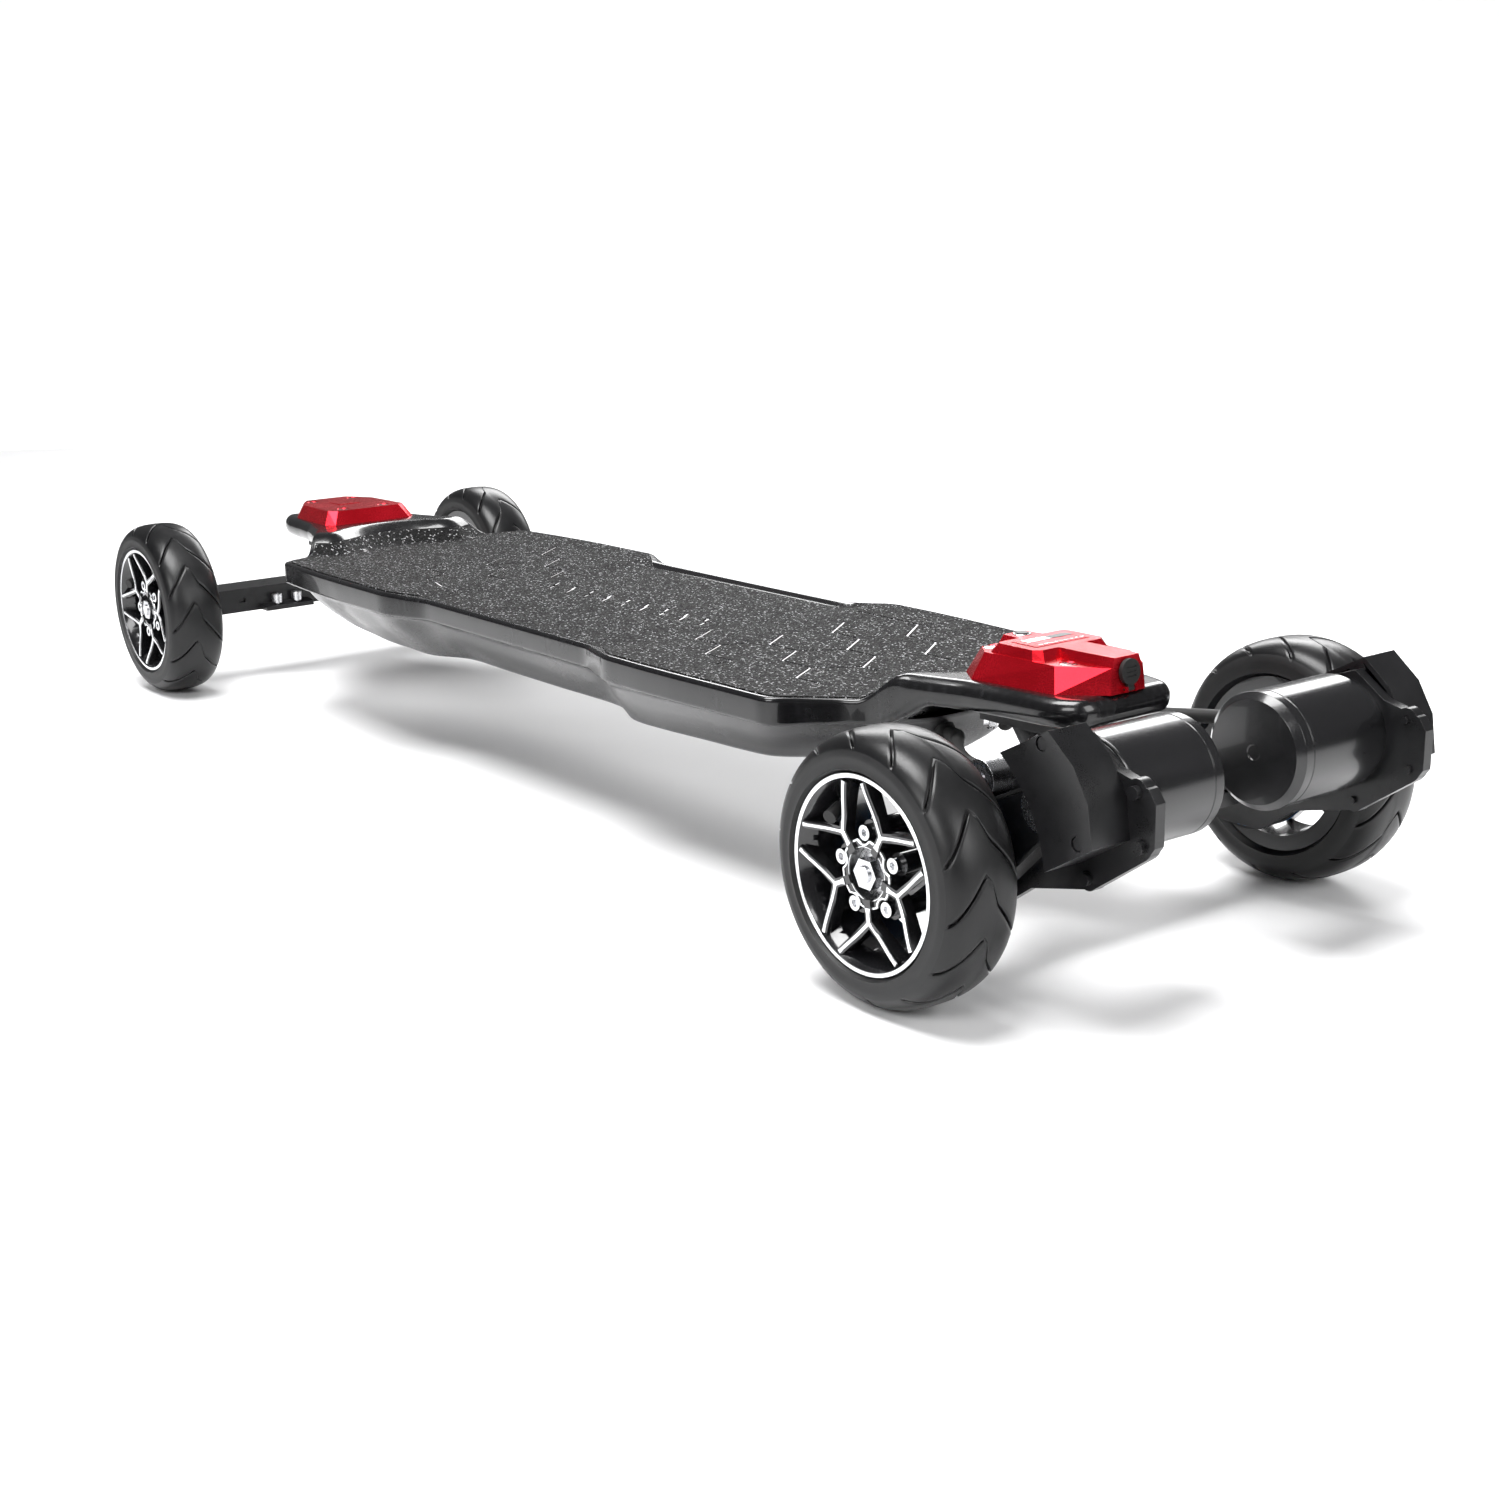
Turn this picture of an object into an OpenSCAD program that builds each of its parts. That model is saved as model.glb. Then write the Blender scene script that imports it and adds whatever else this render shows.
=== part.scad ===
// Electric skateboard: one-piece composite deck with a belly for the battery,
// two steering trucks, pneumatic street tyres and twin belt-driven rear motors.
// +X runs to the nose, +Y to the rider's left, +Z up. The origin is on the
// ground under the middle of the whole board.

/* [Board] */
// Distance between the front and the rear axle
wheelbase = 1027; // [940:1:1100]
// Length of the deck over both tips
deck_l = 1053; // [1045:1:1060]
// Height of the flat tips' top above the ground
tip_z = 149; // [148:0.5:150]
// Height of the platform's rim above the ground
rim_z = 134; // [133:0.5:135]
// Thickness of the deck plate
deck_t = 18; // [17:0.5:19]
// Depth of the concave across the platform
concave = 4; // [2:0.5:5]

/* [Belly] */
// Height of the belly's flat bottom above the ground
belly_z = 81; // [79:0.5:83]
// Wall thickness of the belly
belly_t = 4; // [3:0.5:5]
// Thickness of the lid under the belly
lid_t = 2.6; // [2:0.2:3]
// Screws along each side of the lid
lid_screws_n = 7; // [5:1:9]

/* [Battery] */
// Radius of one cell
cell_r = 10.6; // [9.2:0.1:10.8]
// Length of one cell
cell_l = 70; // [65:1:70]
// Cells in each of the two columns
cells_n = 20; // [14:1:20]

/* [Wheels] */
// Radius of the tyre
tyre_r = 77.5; // [77:0.5:78]
// Width of the tyre
tyre_w = 52; // [48:1:52]
// Distance from the centre line to the middle of a tyre
tyre_y = 168; // [167:0.5:169]
// Outer radius of the rim
rim_r = 56; // [55:0.5:57]
// Radius of the circle of wheel bolts
wheel_bolt_pcr = 22.4; // [22:0.1:23]
// Turn of the rear wheels' bolt circle at rest
rear_wheel_turn = 24.5; // [0:0.5:72]
// Turn of the front wheels' bolt circle at rest
front_wheel_turn = 37.5; // [0:0.5:72]

/* [Trucks] */
// Radius of the axle in its bearings
axle_r = 5.95; // [5.92:0.01:5.98]
// Depth of the hanger bar, fore and aft
bar_d = 38; // [34:1:40]
// Height of the hanger bar
bar_h = 22; // [20:1:23]
// Angle of the steering axis above the horizontal
steer_deg = 38; // [37:0.5:39]

/* [Drive] */
// Radius of the motor can
motor_r = 34; // [32:0.5:34.5]
// Teeth on the pulley of each rear wheel
wheel_teeth = 44; // [40:1:46]
// Teeth on the pulley of each motor
motor_teeth = 15; // [13:1:16]
// Pitch of the belt teeth
belt_pitch = 5; // [5:1:5]
// Width of the belt
belt_w = 15; // [12:1:15]

/* [Hidden] */

$fn = 64;
eps = 0.02;
gap = 0.3;

// Row frame: the motor plates reach furthest back, the front tyres furthest forward.
plate_back = 135;
rear_x = (plate_back - wheelbase - tyre_r) / 2;
front_x = rear_x + wheelbase;
mid_x = (rear_x + front_x) / 2;
axle_z = tyre_r;

black = [0.03, 0.03, 0.035];
dark = [0.1, 0.1, 0.11];
silver = [0.75, 0.76, 0.78];
red = [0.75, 0.03, 0.06];

// ---------------------------------------------------------------- helpers

// Points of an arc of radius r about c from angle a to angle b.
function arc(c, r, a, b, n) =
    [for (i = [0:n]) [c.x + r * cos(a + (b - a) * i / n), c.y + r * sin(a + (b - a) * i / n)]];

// The closed outline of a shape that is mirrored about the X axis.
function both_sides(half) = concat(half, [for (i = [len(half) - 1:-1:0]) [half[i].x, -half[i].y]]);

// A cylinder of radius r along Y from y0 to y1.
module along_y(r, y0, y1) {
    translate([0, y1, 0])
        rotate([90, 0, 0])
            cylinder(r = r, h = y1 - y0);
}

// A flat XZ outline extruded along Y from y0 to y1.
module slab_y(y0, y1) {
    translate([0, y1, 0])
        rotate([90, 0, 0])
            linear_extrude(y1 - y0)
                children();
}

// A hexagonal nut of width across flats af, bored r, from z = 0 to h.
module hex_nut(af, r, h) {
    difference() {
        cylinder(r = af / 2 / cos(30), h = h, $fn = 6);
        translate([0, 0, -1])
            cylinder(r = r, h = h + 2);
    }
}

module left_and_right() {
    children();
    mirror([0, 1, 0])
        children();
}

// Truck-local frame: x = 0 on the axle and growing inboard, z = 0 on the ground.
module at_rear() {
    translate([rear_x, 0, 0])
        children();
}

module at_front() {
    translate([front_x, 0, 0])
        mirror([1, 0, 0])
            children();
}

// ---------------------------------------------------------------- deck

deck_end = deck_l / 2;
waist_w = 116.5;
wide_w = 131.5;
corner_w = 125;
corner_s = 347;

// Half outline from the tail's middle to the nose's middle. The waist is
// nearer the nose by the difference between its two steps.
function tip_half(sign) = [
    for (p = [[0, 30], [4, 38], [11, 43.5], [24, 47], [56, 50], [84, 54], [108, 62],
              [124, 67], [141, 75], [156, 88], [168, 104], [176, 116]])
        [sign * (deck_end - p[0]), p[1]]
];
function reversed(a) = [for (i = [len(a) - 1:-1:0]) a[i]];
deck_half = concat(
    tip_half(-1),
    [[-corner_s, corner_w], [-215, wide_w], [-174, wide_w], [-130, waist_w]],
    [[107, waist_w], [147, wide_w], [226, wide_w], [corner_s, corner_w]],
    reversed(tip_half(1)));

// Side profile: a flat tip, an S-shaped rise and the platform.
rise_a = deck_end - 106;
rise_b = deck_end - 140;
function rise(s) = let (t = min(max((rise_a - s) / (rise_a - rise_b), 0), 1))
    tip_z - (tip_z - rim_z) * (3 * t * t - 2 * t * t * t);
rise_n = 8;
rise_s = [for (i = [0:rise_n]) rise_a + (rise_b - rise_a) * i / rise_n];
profile_top = concat([[-deck_end, tip_z]], [for (s = rise_s) [-s, rise(s)]],
    [for (s = reversed(rise_s)) [s, rise(s)]], [[deck_end, tip_z]]);
profile = concat(profile_top, [for (p = reversed(profile_top)) [p.x, p.y - deck_t]]);
scoop_r = (wide_w * wide_w + concave * concave) / (2 * concave);
scoop_l = 2 * rise_b - 8;

// Belly: rings of the platform's outline, drawn in as they go down.
belly_half_l = deck_end - 125;
belly_top_z = rim_z - deck_t - 2;
belly_plan = [[-1, 0], [-1, 34], [-0.985, 46], [-0.955, 60], [-0.91, 78], [-0.865, 98], [-0.82, 113],
    [-0.76, 118], [-0.53, 126], [-0.43, 126], [-0.32, 111], [0.265, 111], [0.365, 126], [0.56, 126],
    [0.76, 118], [0.82, 113], [0.865, 98], [0.91, 78], [0.955, 60], [0.985, 46], [1, 34], [1, 0]];
// Height and the drawing-in of the sides and of the ends, as shares of the depth.
belly_rings = [[0, 0, 0], [0.35, 8, 7], [0.8, 22, 24], [0.95, 27, 32], [1, 30, 38]];

function belly_ring(side_in, end_in) = both_sides(
    [for (p = belly_plan) [p.x * (belly_half_l - end_in), max(p.y - side_in * min(p.y / 60, 1), 0)]]);

// Closed surface through rings that run round and back to the first one.
module ring_loop(rings) {
    n = len(rings[0]);
    k = len(rings);
    points = [for (r = rings) for (p = r) p];
    polyhedron(points = points, convexity = 6,
        faces = [for (j = [0:k - 1]) for (i = [0:n - 1]) for (t = [0, 1])
            let (a = j * n, b = ((j + 1) % k) * n, i2 = (i + 1) % n)
                t == 0 ? [a + i, b + i, a + i2] : [b + i, b + i2, a + i2]]);
}

function ring_at(r, inset, z) = [for (p = belly_unique(r, inset)) [p.x, p.y, z]];
function belly_unique(r, inset) = let (ring = belly_ring(r[1] + inset, r[2] + inset))
    [for (i = [0:len(ring) - 1]) if (norm(ring[i] - ring[(i + 1) % len(ring)]) > 0.01) ring[i]];
function belly_depth(t) = belly_top_z - t * (belly_top_z - belly_z);

module bottom_plan(inset) {
    polygon(belly_unique(belly_rings[len(belly_rings) - 1], inset));
}

lid_seat_z = belly_z + lid_t + 0.8;
flange_t = 3.6;
function bottom_ring(inset, z) = ring_at(belly_rings[len(belly_rings) - 1], inset, z);

// Down the outside, in under the flange that takes the lid, and up the inside.
module belly_shell() {
    difference() {
        ring_loop(concat([ring_at(belly_rings[0], 0, rim_z - deck_t)],
            [for (r = belly_rings) ring_at(r, 0, belly_depth(r[0]))],
            [bottom_ring(4, belly_z), bottom_ring(4, lid_seat_z)],
            [bottom_ring(14, lid_seat_z), bottom_ring(14, lid_seat_z + flange_t)],
            [ring_at(belly_rings[2], belly_t, lid_seat_z + flange_t)],
            [ring_at(belly_rings[1], belly_t + 1, belly_depth(0.35))],
            [ring_at(belly_rings[0], belly_t + 2, rim_z - deck_t)]));
        lid_screw_places()
            cylinder(r = 1.65, h = 12, center = true);
    }
}

lid_reach = 300;
lid_screw_line = [for (p = belly_plan) [p.x * (belly_half_l - 47), p.y - 39]];

module lid_screw_places() {
    for (i = [0:lid_screws_n - 1], side = [-1, 1])
        let (x = lid_reach * (2 * i / (lid_screws_n - 1) - 1))
            translate([x, side * lookup(x, lid_screw_line), lid_seat_z])
                children();
}

bolt_dx = 63.5;
bolt_dy = 41.28;
bolt_mid = 48;

module truck_bolt_places() {
    for (sx = [-1, 1], sy = [-1, 1])
        translate([bolt_mid + sx * bolt_dx / 2, sy * bolt_dy / 2, 0])
            children();
}

wire_hole_x = 100;

module deck() {
    color(dark)
        difference() {
            translate([mid_x, 0, 0])
                difference() {
                    intersection() {
                        linear_extrude(tip_z + 10)
                            polygon(both_sides(deck_half));
                        slab_y(-wide_w - 1, wide_w + 1)
                            polygon(profile);
                    }
                    translate([-scoop_l / 2, 0, rim_z - concave + scoop_r])
                        rotate([0, 90, 0])
                            cylinder(r = scoop_r, h = scoop_l, $fn = 360);
                }
            at_rear()
                truck_bolt_places()
                    cylinder(r = 2.75, h = tip_z + 20);
            at_front()
                truck_bolt_places()
                    cylinder(r = 2.75, h = tip_z + 20);
        }
}

module belly() {
    color(dark)
        difference() {
            translate([mid_x, 0, 0])
                belly_shell();
            cable_holes();
        }
}

// Passages for the two motor cables.
cable_y = 26;
cable_z = 106;
cable_r = 4.5;

module cable_holes() {
    at_rear()
        left_and_right()
            translate([150, cable_y, cable_z])
                rotate([0, -90, 0])
                    cylinder(r = cable_r + 0.2, h = 40);
}

grip_t = 1;
grip_in = 6;

module grip_tape() {
    color([0.05, 0.05, 0.05])
        translate([mid_x, 0, 0])
            intersection() {
                linear_extrude(tip_z + 10)
                    polygon(both_sides([for (p = deck_half)
                        if (abs(p.x) < rise_b) [p.x * 0.985, p.y - grip_in]]));
                translate([-scoop_l / 2 + gap, 0, rim_z - concave + scoop_r])
                    rotate([0, 90, 0])
                        difference() {
                            cylinder(r = scoop_r - eps, h = scoop_l - 2 * gap, $fn = 360);
                            translate([0, 0, -1])
                                cylinder(r = scoop_r - grip_t, h = scoop_l + 2, $fn = 360);
                        }
            }
}

module belly_lid() {
    color(black)
        translate([mid_x, 0, 0])
            difference() {
                translate([0, 0, belly_z])
                    linear_extrude(lid_t)
                        bottom_plan(4 + gap);
                lid_screw_places() {
                    cylinder(r = 2.2, h = 12, center = true);
                    translate([0, 0, -lid_t - 0.8 - 0.01])
                        cylinder(r1 = 4.2, r2 = 2.2, h = 2);
                }
            }
}

module lid_gasket() {
    color([0.15, 0.15, 0.15])
        translate([mid_x, 0, 0])
            difference() {
                translate([0, 0, belly_z + lid_t])
                    linear_extrude(0.8)
                        difference() {
                            bottom_plan(4.5);
                            bottom_plan(13.5);
                        }
                lid_screw_places()
                    cylinder(r = 2.2, h = 12, center = true);
            }
}

module lid_screws() {
    color(silver)
        translate([mid_x, 0, 0])
            lid_screw_places() {
                translate([0, 0, -lid_t - 0.8])
                    cylinder(r1 = 4, r2 = 1.6, h = 2.2);
                translate([0, 0, -lid_t - 0.8])
                    cylinder(r = 1.6, h = lid_t + 0.8 + flange_t + 0.3);
            }
}

// ---------------------------------------------------------------- battery and electronics

cell_pitch = 2 * cell_r + 0.5;
cells_l = cells_n * cell_pitch;
inside_z = lid_seat_z + flange_t + 0.6;
cell_z = inside_z + 1.4 + cell_r;
cells_x = mid_x + 62;

module each_cell() {
    for (i = [0:cells_n - 1], side = [-1, 1])
        translate([cells_x - cells_l / 2 + cell_pitch * (i + 0.5), side * (cell_l / 2 + 1), cell_z])
            children();
}

module battery_cells() {
    color([0.1, 0.35, 0.55])
        each_cell()
            along_y(cell_r, -cell_l / 2, cell_l / 2);
}

module battery_cradle() {
    color([0.2, 0.2, 0.2])
        difference() {
            translate([cells_x - cells_l / 2, -cell_l - 1, inside_z])
                cube([cells_l, 2 * cell_l + 2, 8]);
            each_cell()
                along_y(cell_r + 0.15, -cell_l / 2 - 5, cell_l / 2 + 5);
        }
}

module battery_board() {
    color([0.05, 0.25, 0.12])
        translate([cells_x - cells_l / 2 - 62, -50, inside_z]) {
            cube([56, 100, 1.6]);
            for (i = [0:4])
                translate([6, 5 + i * 19, 1.6])
                    cube([9, 14, 3]);
            translate([26, 10, 1.6])
                cube([22, 80, 7]);
        }
}

esc_x = mid_x - 272;

module speed_controller() {
    color([0.35, 0.36, 0.38])
        translate([esc_x, 0, inside_z])
            difference() {
                translate([-40, -50, 0])
                    cube([80, 100, 20]);
                for (i = [0:7])
                    translate([-41, -48 + i * 12.6, 13])
                        cube([82, 8, 9]);
            }
}

// ---------------------------------------------------------------- tip covers

cover_h = 15.5;
island_h = 21;
rear_foot = [[91, 31], [74, 43], [12, 36], [-3, 21], [-11, 14]];
rear_shoulder = [[85, 24], [72, 34], [17, 31.5], [5, 19.5], [-9.5, 13]];
bar_foot = [[73, 29], [70, 32], [35, 31], [29, 27]];
bar_top = [[68, 26], [65, 28.5], [38, 28.5], [34, 24]];
tongue_foot = [[40, 14], [10, 13], [-9.5, 12]];
tongue_top = [[40, 11], [12, 11], [-9, 10]];
nub_foot = [[85, 11], [70, 14]];
nub_top = [[82, 9], [66, 10]];
front_h = 12;
front_foot = [[97, 38], [90, 45], [24, 42], [8, 34], [-6, 24]];
front_shoulder = [[90, 31], [84, 38], [27, 36], [13, 29], [0, 20]];

module frustum(foot, top, z0, z1) {
    hull() {
        translate([0, 0, z0])
            linear_extrude(eps)
                polygon(both_sides(foot));
        translate([0, 0, z1 - eps])
            linear_extrude(eps)
                polygon(both_sides(top));
    }
}

port_z = 161;
port_x = -9.9;
port_tilt = 5.5;
port_r = 4.2;
cap_pin = -9.9;
button_x = 75.5;
button_r = 4;
badge_x = 41;

module at_port() {
    translate([port_x, 0, port_z])
        rotate([0, -90 + port_tilt, 0])
            children();
}

module at_button() {
    translate([button_x, 0, tip_z + island_h])
        children();
}

module rear_cover() {
    color(red)
        at_rear()
            difference() {
                union() {
                    frustum(rear_foot, rear_shoulder, tip_z, tip_z + cover_h);
                    frustum(bar_foot, bar_top, tip_z + cover_h - 1, tip_z + island_h);
                    frustum(tongue_foot, tongue_top, tip_z + cover_h - 1, tip_z + island_h);
                    frustum(nub_foot, nub_top, tip_z + cover_h - 1, tip_z + island_h);
                    at_port()
                        for (y = [-4.9, 2.9])
                            translate([cap_pin - 1.6, y, -2])
                                cube([3.2, 2, 5]);
                }
                translate([10, -18, tip_z - 1])
                    cube([70, 36, 8]);
                translate([badge_x, -22, tip_z + island_h - 0.8])
                    cube([21, 44, 2]);
                truck_bolt_places() {
                    cylinder(r = 2.75, h = tip_z + 30);
                    translate([0, 0, tip_z + cover_h - 3])
                        cylinder(r1 = 2.75, r2 = 5.75, h = 3.01);
                }
                at_port()
                    translate([0, 0, -24])
                        cylinder(r = 6.5, h = 40);
                at_port()
                    translate([cap_pin, 0, 1.4])
                        rotate([90, 0, 0])
                            cylinder(r = 0.86, h = 12, center = true);
                at_button()
                    translate([0, 0, -5])
                        cylinder(r = button_r + 0.06, h = 20);
            }
}

module front_cover() {
    color(red)
        at_front()
            difference() {
                frustum(front_foot, front_shoulder, tip_z, tip_z + front_h);
                translate([10, -20, tip_z - 1])
                    cube([68, 40, 8]);
                translate([30, -11, tip_z + front_h - 0.8])
                    cube([22, 22, 2]);
                truck_bolt_places() {
                    cylinder(r = 2.75, h = tip_z + 30);
                    translate([0, 0, tip_z + front_h - 3])
                        cylinder(r1 = 2.75, r2 = 5.75, h = 3.01);
                }
            }
}

module badge_plates() {
    color(silver) {
        at_rear()
            translate([badge_x + 0.3, -21.7, tip_z + island_h - 0.8])
                cube([20.4, 43.4, 1.2]);
        at_front()
            translate([30.3, -10.7, tip_z + front_h - 0.8])
                cube([21.4, 21.4, 1.2]);
    }
}

module charge_socket() {
    color(black)
        at_rear()
            at_port()
                difference() {
                    translate([0, 0, -23])
                        cylinder(r = 6.4, h = 22.2);
                    translate([0, 0, -14])
                        cylinder(r = port_r, h = 30);
                }
}

module charge_cap() {
    color([0.02, 0.02, 0.02])
        at_rear()
            at_port() {
                difference() {
                    union() {
                        translate([0, 0, 0.4])
                            cylinder(r = 7.6, h = 2.6);
                        translate([cap_pin, -2.6, 0.4])
                            cube([5, 5.2, 1.8]);
                    }
                    for (i = [-1:1])
                        translate([i * 2.6 - 0.5, -4, 2.4])
                            cube([1, 8, 1]);
                }
                translate([cap_pin, 0, 1.4])
                    rotate([90, 0, 0]) {
                        cylinder(r = 0.8, h = 9, center = true);
                        cylinder(r = 1.2, h = 5.2, center = true);
                    }
            }
}

module power_button() {
    color([0.6, 0.6, 0.62])
        at_rear()
            at_button()
                translate([0, 0, -3.2])
                    cylinder(r = button_r, h = 4.4);
}

// ---------------------------------------------------------------- trucks

riser_t = 3;
tip_under = tip_z - deck_t;
base_z = tip_under - riser_t;
base_t = 7;
base_under = base_z - base_t;
base_l = 84;
base_w = 56;

// Unit vectors of the steering axis, up and outboard, and of the kingpin, down.
ax = [-cos(steer_deg), 0, sin(steer_deg)];
kd = [-sin(steer_deg), 0, -cos(steer_deg)];
seat = [58, 0, base_under - 12];
bush_up = 12;
ring_t = 7;
bush_down = 11;
ring_c = seat + kd * (bush_up + ring_t / 2);
pin_r = 5;
head_seat = 8;
pivot_r = 5;
cup_at = 26.5;
cup_l = 11.4;
pivot_reach = 36.5;

// Frame whose +Z runs down the kingpin from its seat on the baseplate.
module at_kingpin() {
    translate(seat)
        rotate([0, 180 + steer_deg, 0])
            children();
}

// Frame whose +Z runs up the steering axis from the centre of the hanger's ring.
module at_steer_axis() {
    translate(ring_c)
        rotate([0, steer_deg - 90, 0])
            children();
}

module riser_pads() {
    color([0.12, 0.12, 0.12]) {
        at_rear()
            riser_pad();
        at_front()
            riser_pad();
    }
}

module riser_pad() {
    difference() {
        translate([bolt_mid - base_l / 2 - 1, -base_w / 2 - 1, base_z])
            cube([base_l + 2, base_w + 2, riser_t]);
        truck_bolt_places()
            cylinder(r = 2.9, h = tip_z);
    }
}

module baseplate() {
    difference() {
        union() {
            translate([bolt_mid - base_l / 2, 0, base_under])
                linear_extrude(base_t)
                    polygon(both_sides([[0, 0], [0, base_w / 2 - 8], [8, base_w / 2],
                        [base_l - 8, base_w / 2], [base_l, base_w / 2 - 8], [base_l, 0]]));
            intersection() {
                union() {
                    at_kingpin()
                        translate([0, 0, -28])
                            cylinder(r = 13, h = 28);
                    at_steer_axis()
                        translate([0, 0, cup_at - 0.5])
                            cylinder(r = 12, h = 24);
                }
                translate([-50, -50, 0])
                    cube([200, 100, base_z]);
            }
        }
        truck_bolt_places()
            cylinder(r = 2.9, h = tip_z);
        at_kingpin()
            translate([0, 0, -40])
                cylinder(r = pin_r + 0.02, h = 60);
        at_kingpin()
            translate([0, 0, -40])
                cylinder(r = 8.2, h = 40 - head_seat);
        at_steer_axis()
            translate([0, 0, cup_at - 2])
                cylinder(r = 8, h = cup_l + 2.1);
    }
}

module baseplates() {
    color(dark) {
        at_rear()
            baseplate();
        at_front()
            baseplate();
    }
}

module pivot_cup() {
    at_steer_axis()
        difference() {
            translate([0, 0, cup_at])
                cylinder(r = 7.98, h = cup_l);
            translate([0, 0, cup_at - 1])
                cylinder(r = pivot_r + 0.06, h = cup_l);
        }
}

module pivot_cups() {
    color([0.8, 0.75, 0.6]) {
        at_rear()
            pivot_cup();
        at_front()
            pivot_cup();
    }
}

stack = bush_up + ring_t + bush_down;

module kingpin() {
    at_kingpin() {
        translate([0, 0, -head_seat])
            cylinder(r = pin_r, h = head_seat + stack + 10);
        translate([0, 0, -head_seat - 4.5])
            cylinder(r = 7.5, h = 4.5, $fn = 6);
    }
    at_kingpin()
        for (z = [0, stack])
            translate([0, 0, z])
                difference() {
                    cylinder(r = 11, h = 1.4);
                    translate([0, 0, -1])
                        cylinder(r = pin_r, h = 4);
                }
    at_kingpin()
        translate([0, 0, stack + 1.4])
            hex_nut(15, pin_r, 6.5);
}

module kingpins() {
    color(silver) {
        at_rear()
            kingpin();
        at_front()
            kingpin();
    }
}

module bushings() {
    at_kingpin()
        for (z = [[1.4, bush_up], [bush_up + ring_t, stack]])
            translate([0, 0, z[0]])
                difference() {
                    cylinder(r = 10.5, h = z[1] - z[0]);
                    translate([0, 0, -1])
                        cylinder(r = pin_r + 0.1, h = 30);
                }
}

module front_bushings() {
    color([0.85, 0.3, 0.05])
        at_front()
            bushings();
}

module rear_bushings() {
    color([0.85, 0.3, 0.05])
        at_rear()
            bushings();
}

// The bolts through cover, deck, riser and baseplate, each with its nut.
module truck_bolts() {
    color(silver) {
        at_rear()
            truck_bolt_places()
                truck_bolt(tip_z + cover_h);
        at_front()
            truck_bolt_places()
                truck_bolt(tip_z + front_h);
    }
}

module truck_bolt(top) {
    translate([0, 0, base_under - 7])
        cylinder(r = 2.5, h = top - 0.4 - base_under + 7);
    difference() {
        translate([0, 0, top - 3.2])
            cylinder(r1 = 2.5, r2 = 5.2, h = 2.8);
        translate([0, 0, top - 2.2])
            cylinder(r = 1.8, h = 3, $fn = 6);
    }
    translate([0, 0, base_under - 5])
        hex_nut(8, 2.5, 5);
}

// A point of the hanger's arm: t up the steering axis, p down the kingpin.
function arm(t, p) = let (q = ring_c + ax * t + kd * p) [q.x, q.z];

module hanger(bar_half) {
    top = axle_z + bar_h / 2;
    low = axle_z - bar_h / 2;
    difference() {
        union() {
            translate([-bar_d / 2, -bar_half, low])
                cube([bar_d, 2 * bar_half, bar_h]);
            left_and_right()
                slab_y(shelf_y - 24, shelf_y + 24)
                    polygon([[bar_d / 2 - 1, low], [bar_d / 2 + 13, low],
                        [bar_d / 2 + 13, low + 4], [bar_d / 2 - 1, low + 6]]);
            slab_y(-11, 11)
                polygon([arm(8, -ring_t / 2), arm(25, -ring_t / 2), arm(25, 13.5), arm(35, 14),
                    [-bar_d / 2 + 2, top - 1], [bar_d / 2 - 2, top - 1], arm(16.5, 20), arm(8, ring_t / 2)]);
            at_kingpin()
                translate([0, 0, bush_up])
                    cylinder(r = 14, h = ring_t);
            at_steer_axis()
                translate([0, 0, 14])
                    cylinder(r = pivot_r, h = pivot_reach - 14);
        }
        at_kingpin()
            cylinder(r = 8, h = 60);
        at_kingpin()
            translate([0, 0, bush_up + ring_t])
                cylinder(r = 16, h = 24);
        translate([0, 0, axle_z])
            along_y(axle_r + 0.02, -bar_half - 1, bar_half + 1);
        left_and_right()
            for (y = [shelf_y - 10, shelf_y + 10])
                translate([bar_d / 2 + 6, y, 0])
                    cylinder(r = 2.6, h = axle_z);
        // Slots in the bar's inboard and outboard faces
        for (side = [-1, 1], face = [-1, 1])
            translate([face * bar_d / 2 - 3, side * (bar_half - 33) - 3, axle_z - 2])
                cube([6, 6, 4]);
    }
}

front_bar = 135;
rear_bar = 113;
shelf_y = 60;

module front_hanger() {
    color(black)
        at_front()
            hanger(front_bar);
}

module rear_hanger() {
    color(black)
        at_rear()
            hanger(rear_bar);
}

bearing_out = 181;
bearing_in = 150;
bearing_t = 8;
axle_end = 190;

module axle(bar_half) {
    translate([0, 0, axle_z]) {
        along_y(axle_r, -bearing_out - 1.6, bearing_out + 1.6);
        along_y(4.9, -axle_end, axle_end);
        left_and_right()
            translate([0, bar_half + gap, 0])
                difference() {
                    along_y(9, 0, bearing_in - bar_half - 2 * gap);
                    along_y(axle_r - 0.5, -1, 60);
                }
    }
}

module front_axle() {
    color(silver)
        at_front()
            axle(front_bar);
}

module rear_axle() {
    color(silver)
        at_rear()
            axle(rear_bar);
}

module axle_nuts() {
    left_and_right()
        translate([0, 0, axle_z]) {
            translate([0, bearing_out + gap, 0])
                difference() {
                    along_y(8.5, 0, 1.3);
                    along_y(axle_r, -1, 3);
                }
            translate([0, bearing_out + 1.6, 0])
                rotate([-90, 0, 0])
                    hex_nut(16, 4.9, 6);
        }
}

module shelf_screws() {
    left_and_right()
        for (y = [shelf_y - 10, shelf_y + 10])
            translate([bar_d / 2 + 6, y, axle_z - bar_h / 2]) {
                translate([0, 0, -1])
                    cylinder(r = 2.5, h = 10);
                translate([0, 0, 5.8])
                    difference() {
                        cylinder(r = 5, h = 8);
                        translate([0, 0, 4])
                            cylinder(r = 2.6, h = 5, $fn = 6);
                    }
            }
}

module front_fasteners() {
    color(silver)
        at_front() {
            axle_nuts();
            shelf_screws();
        }
}

module rear_fasteners() {
    color(silver)
        at_rear() {
            axle_nuts();
            shelf_screws();
            left_and_right()
                drive_screws();
        }
}

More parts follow.
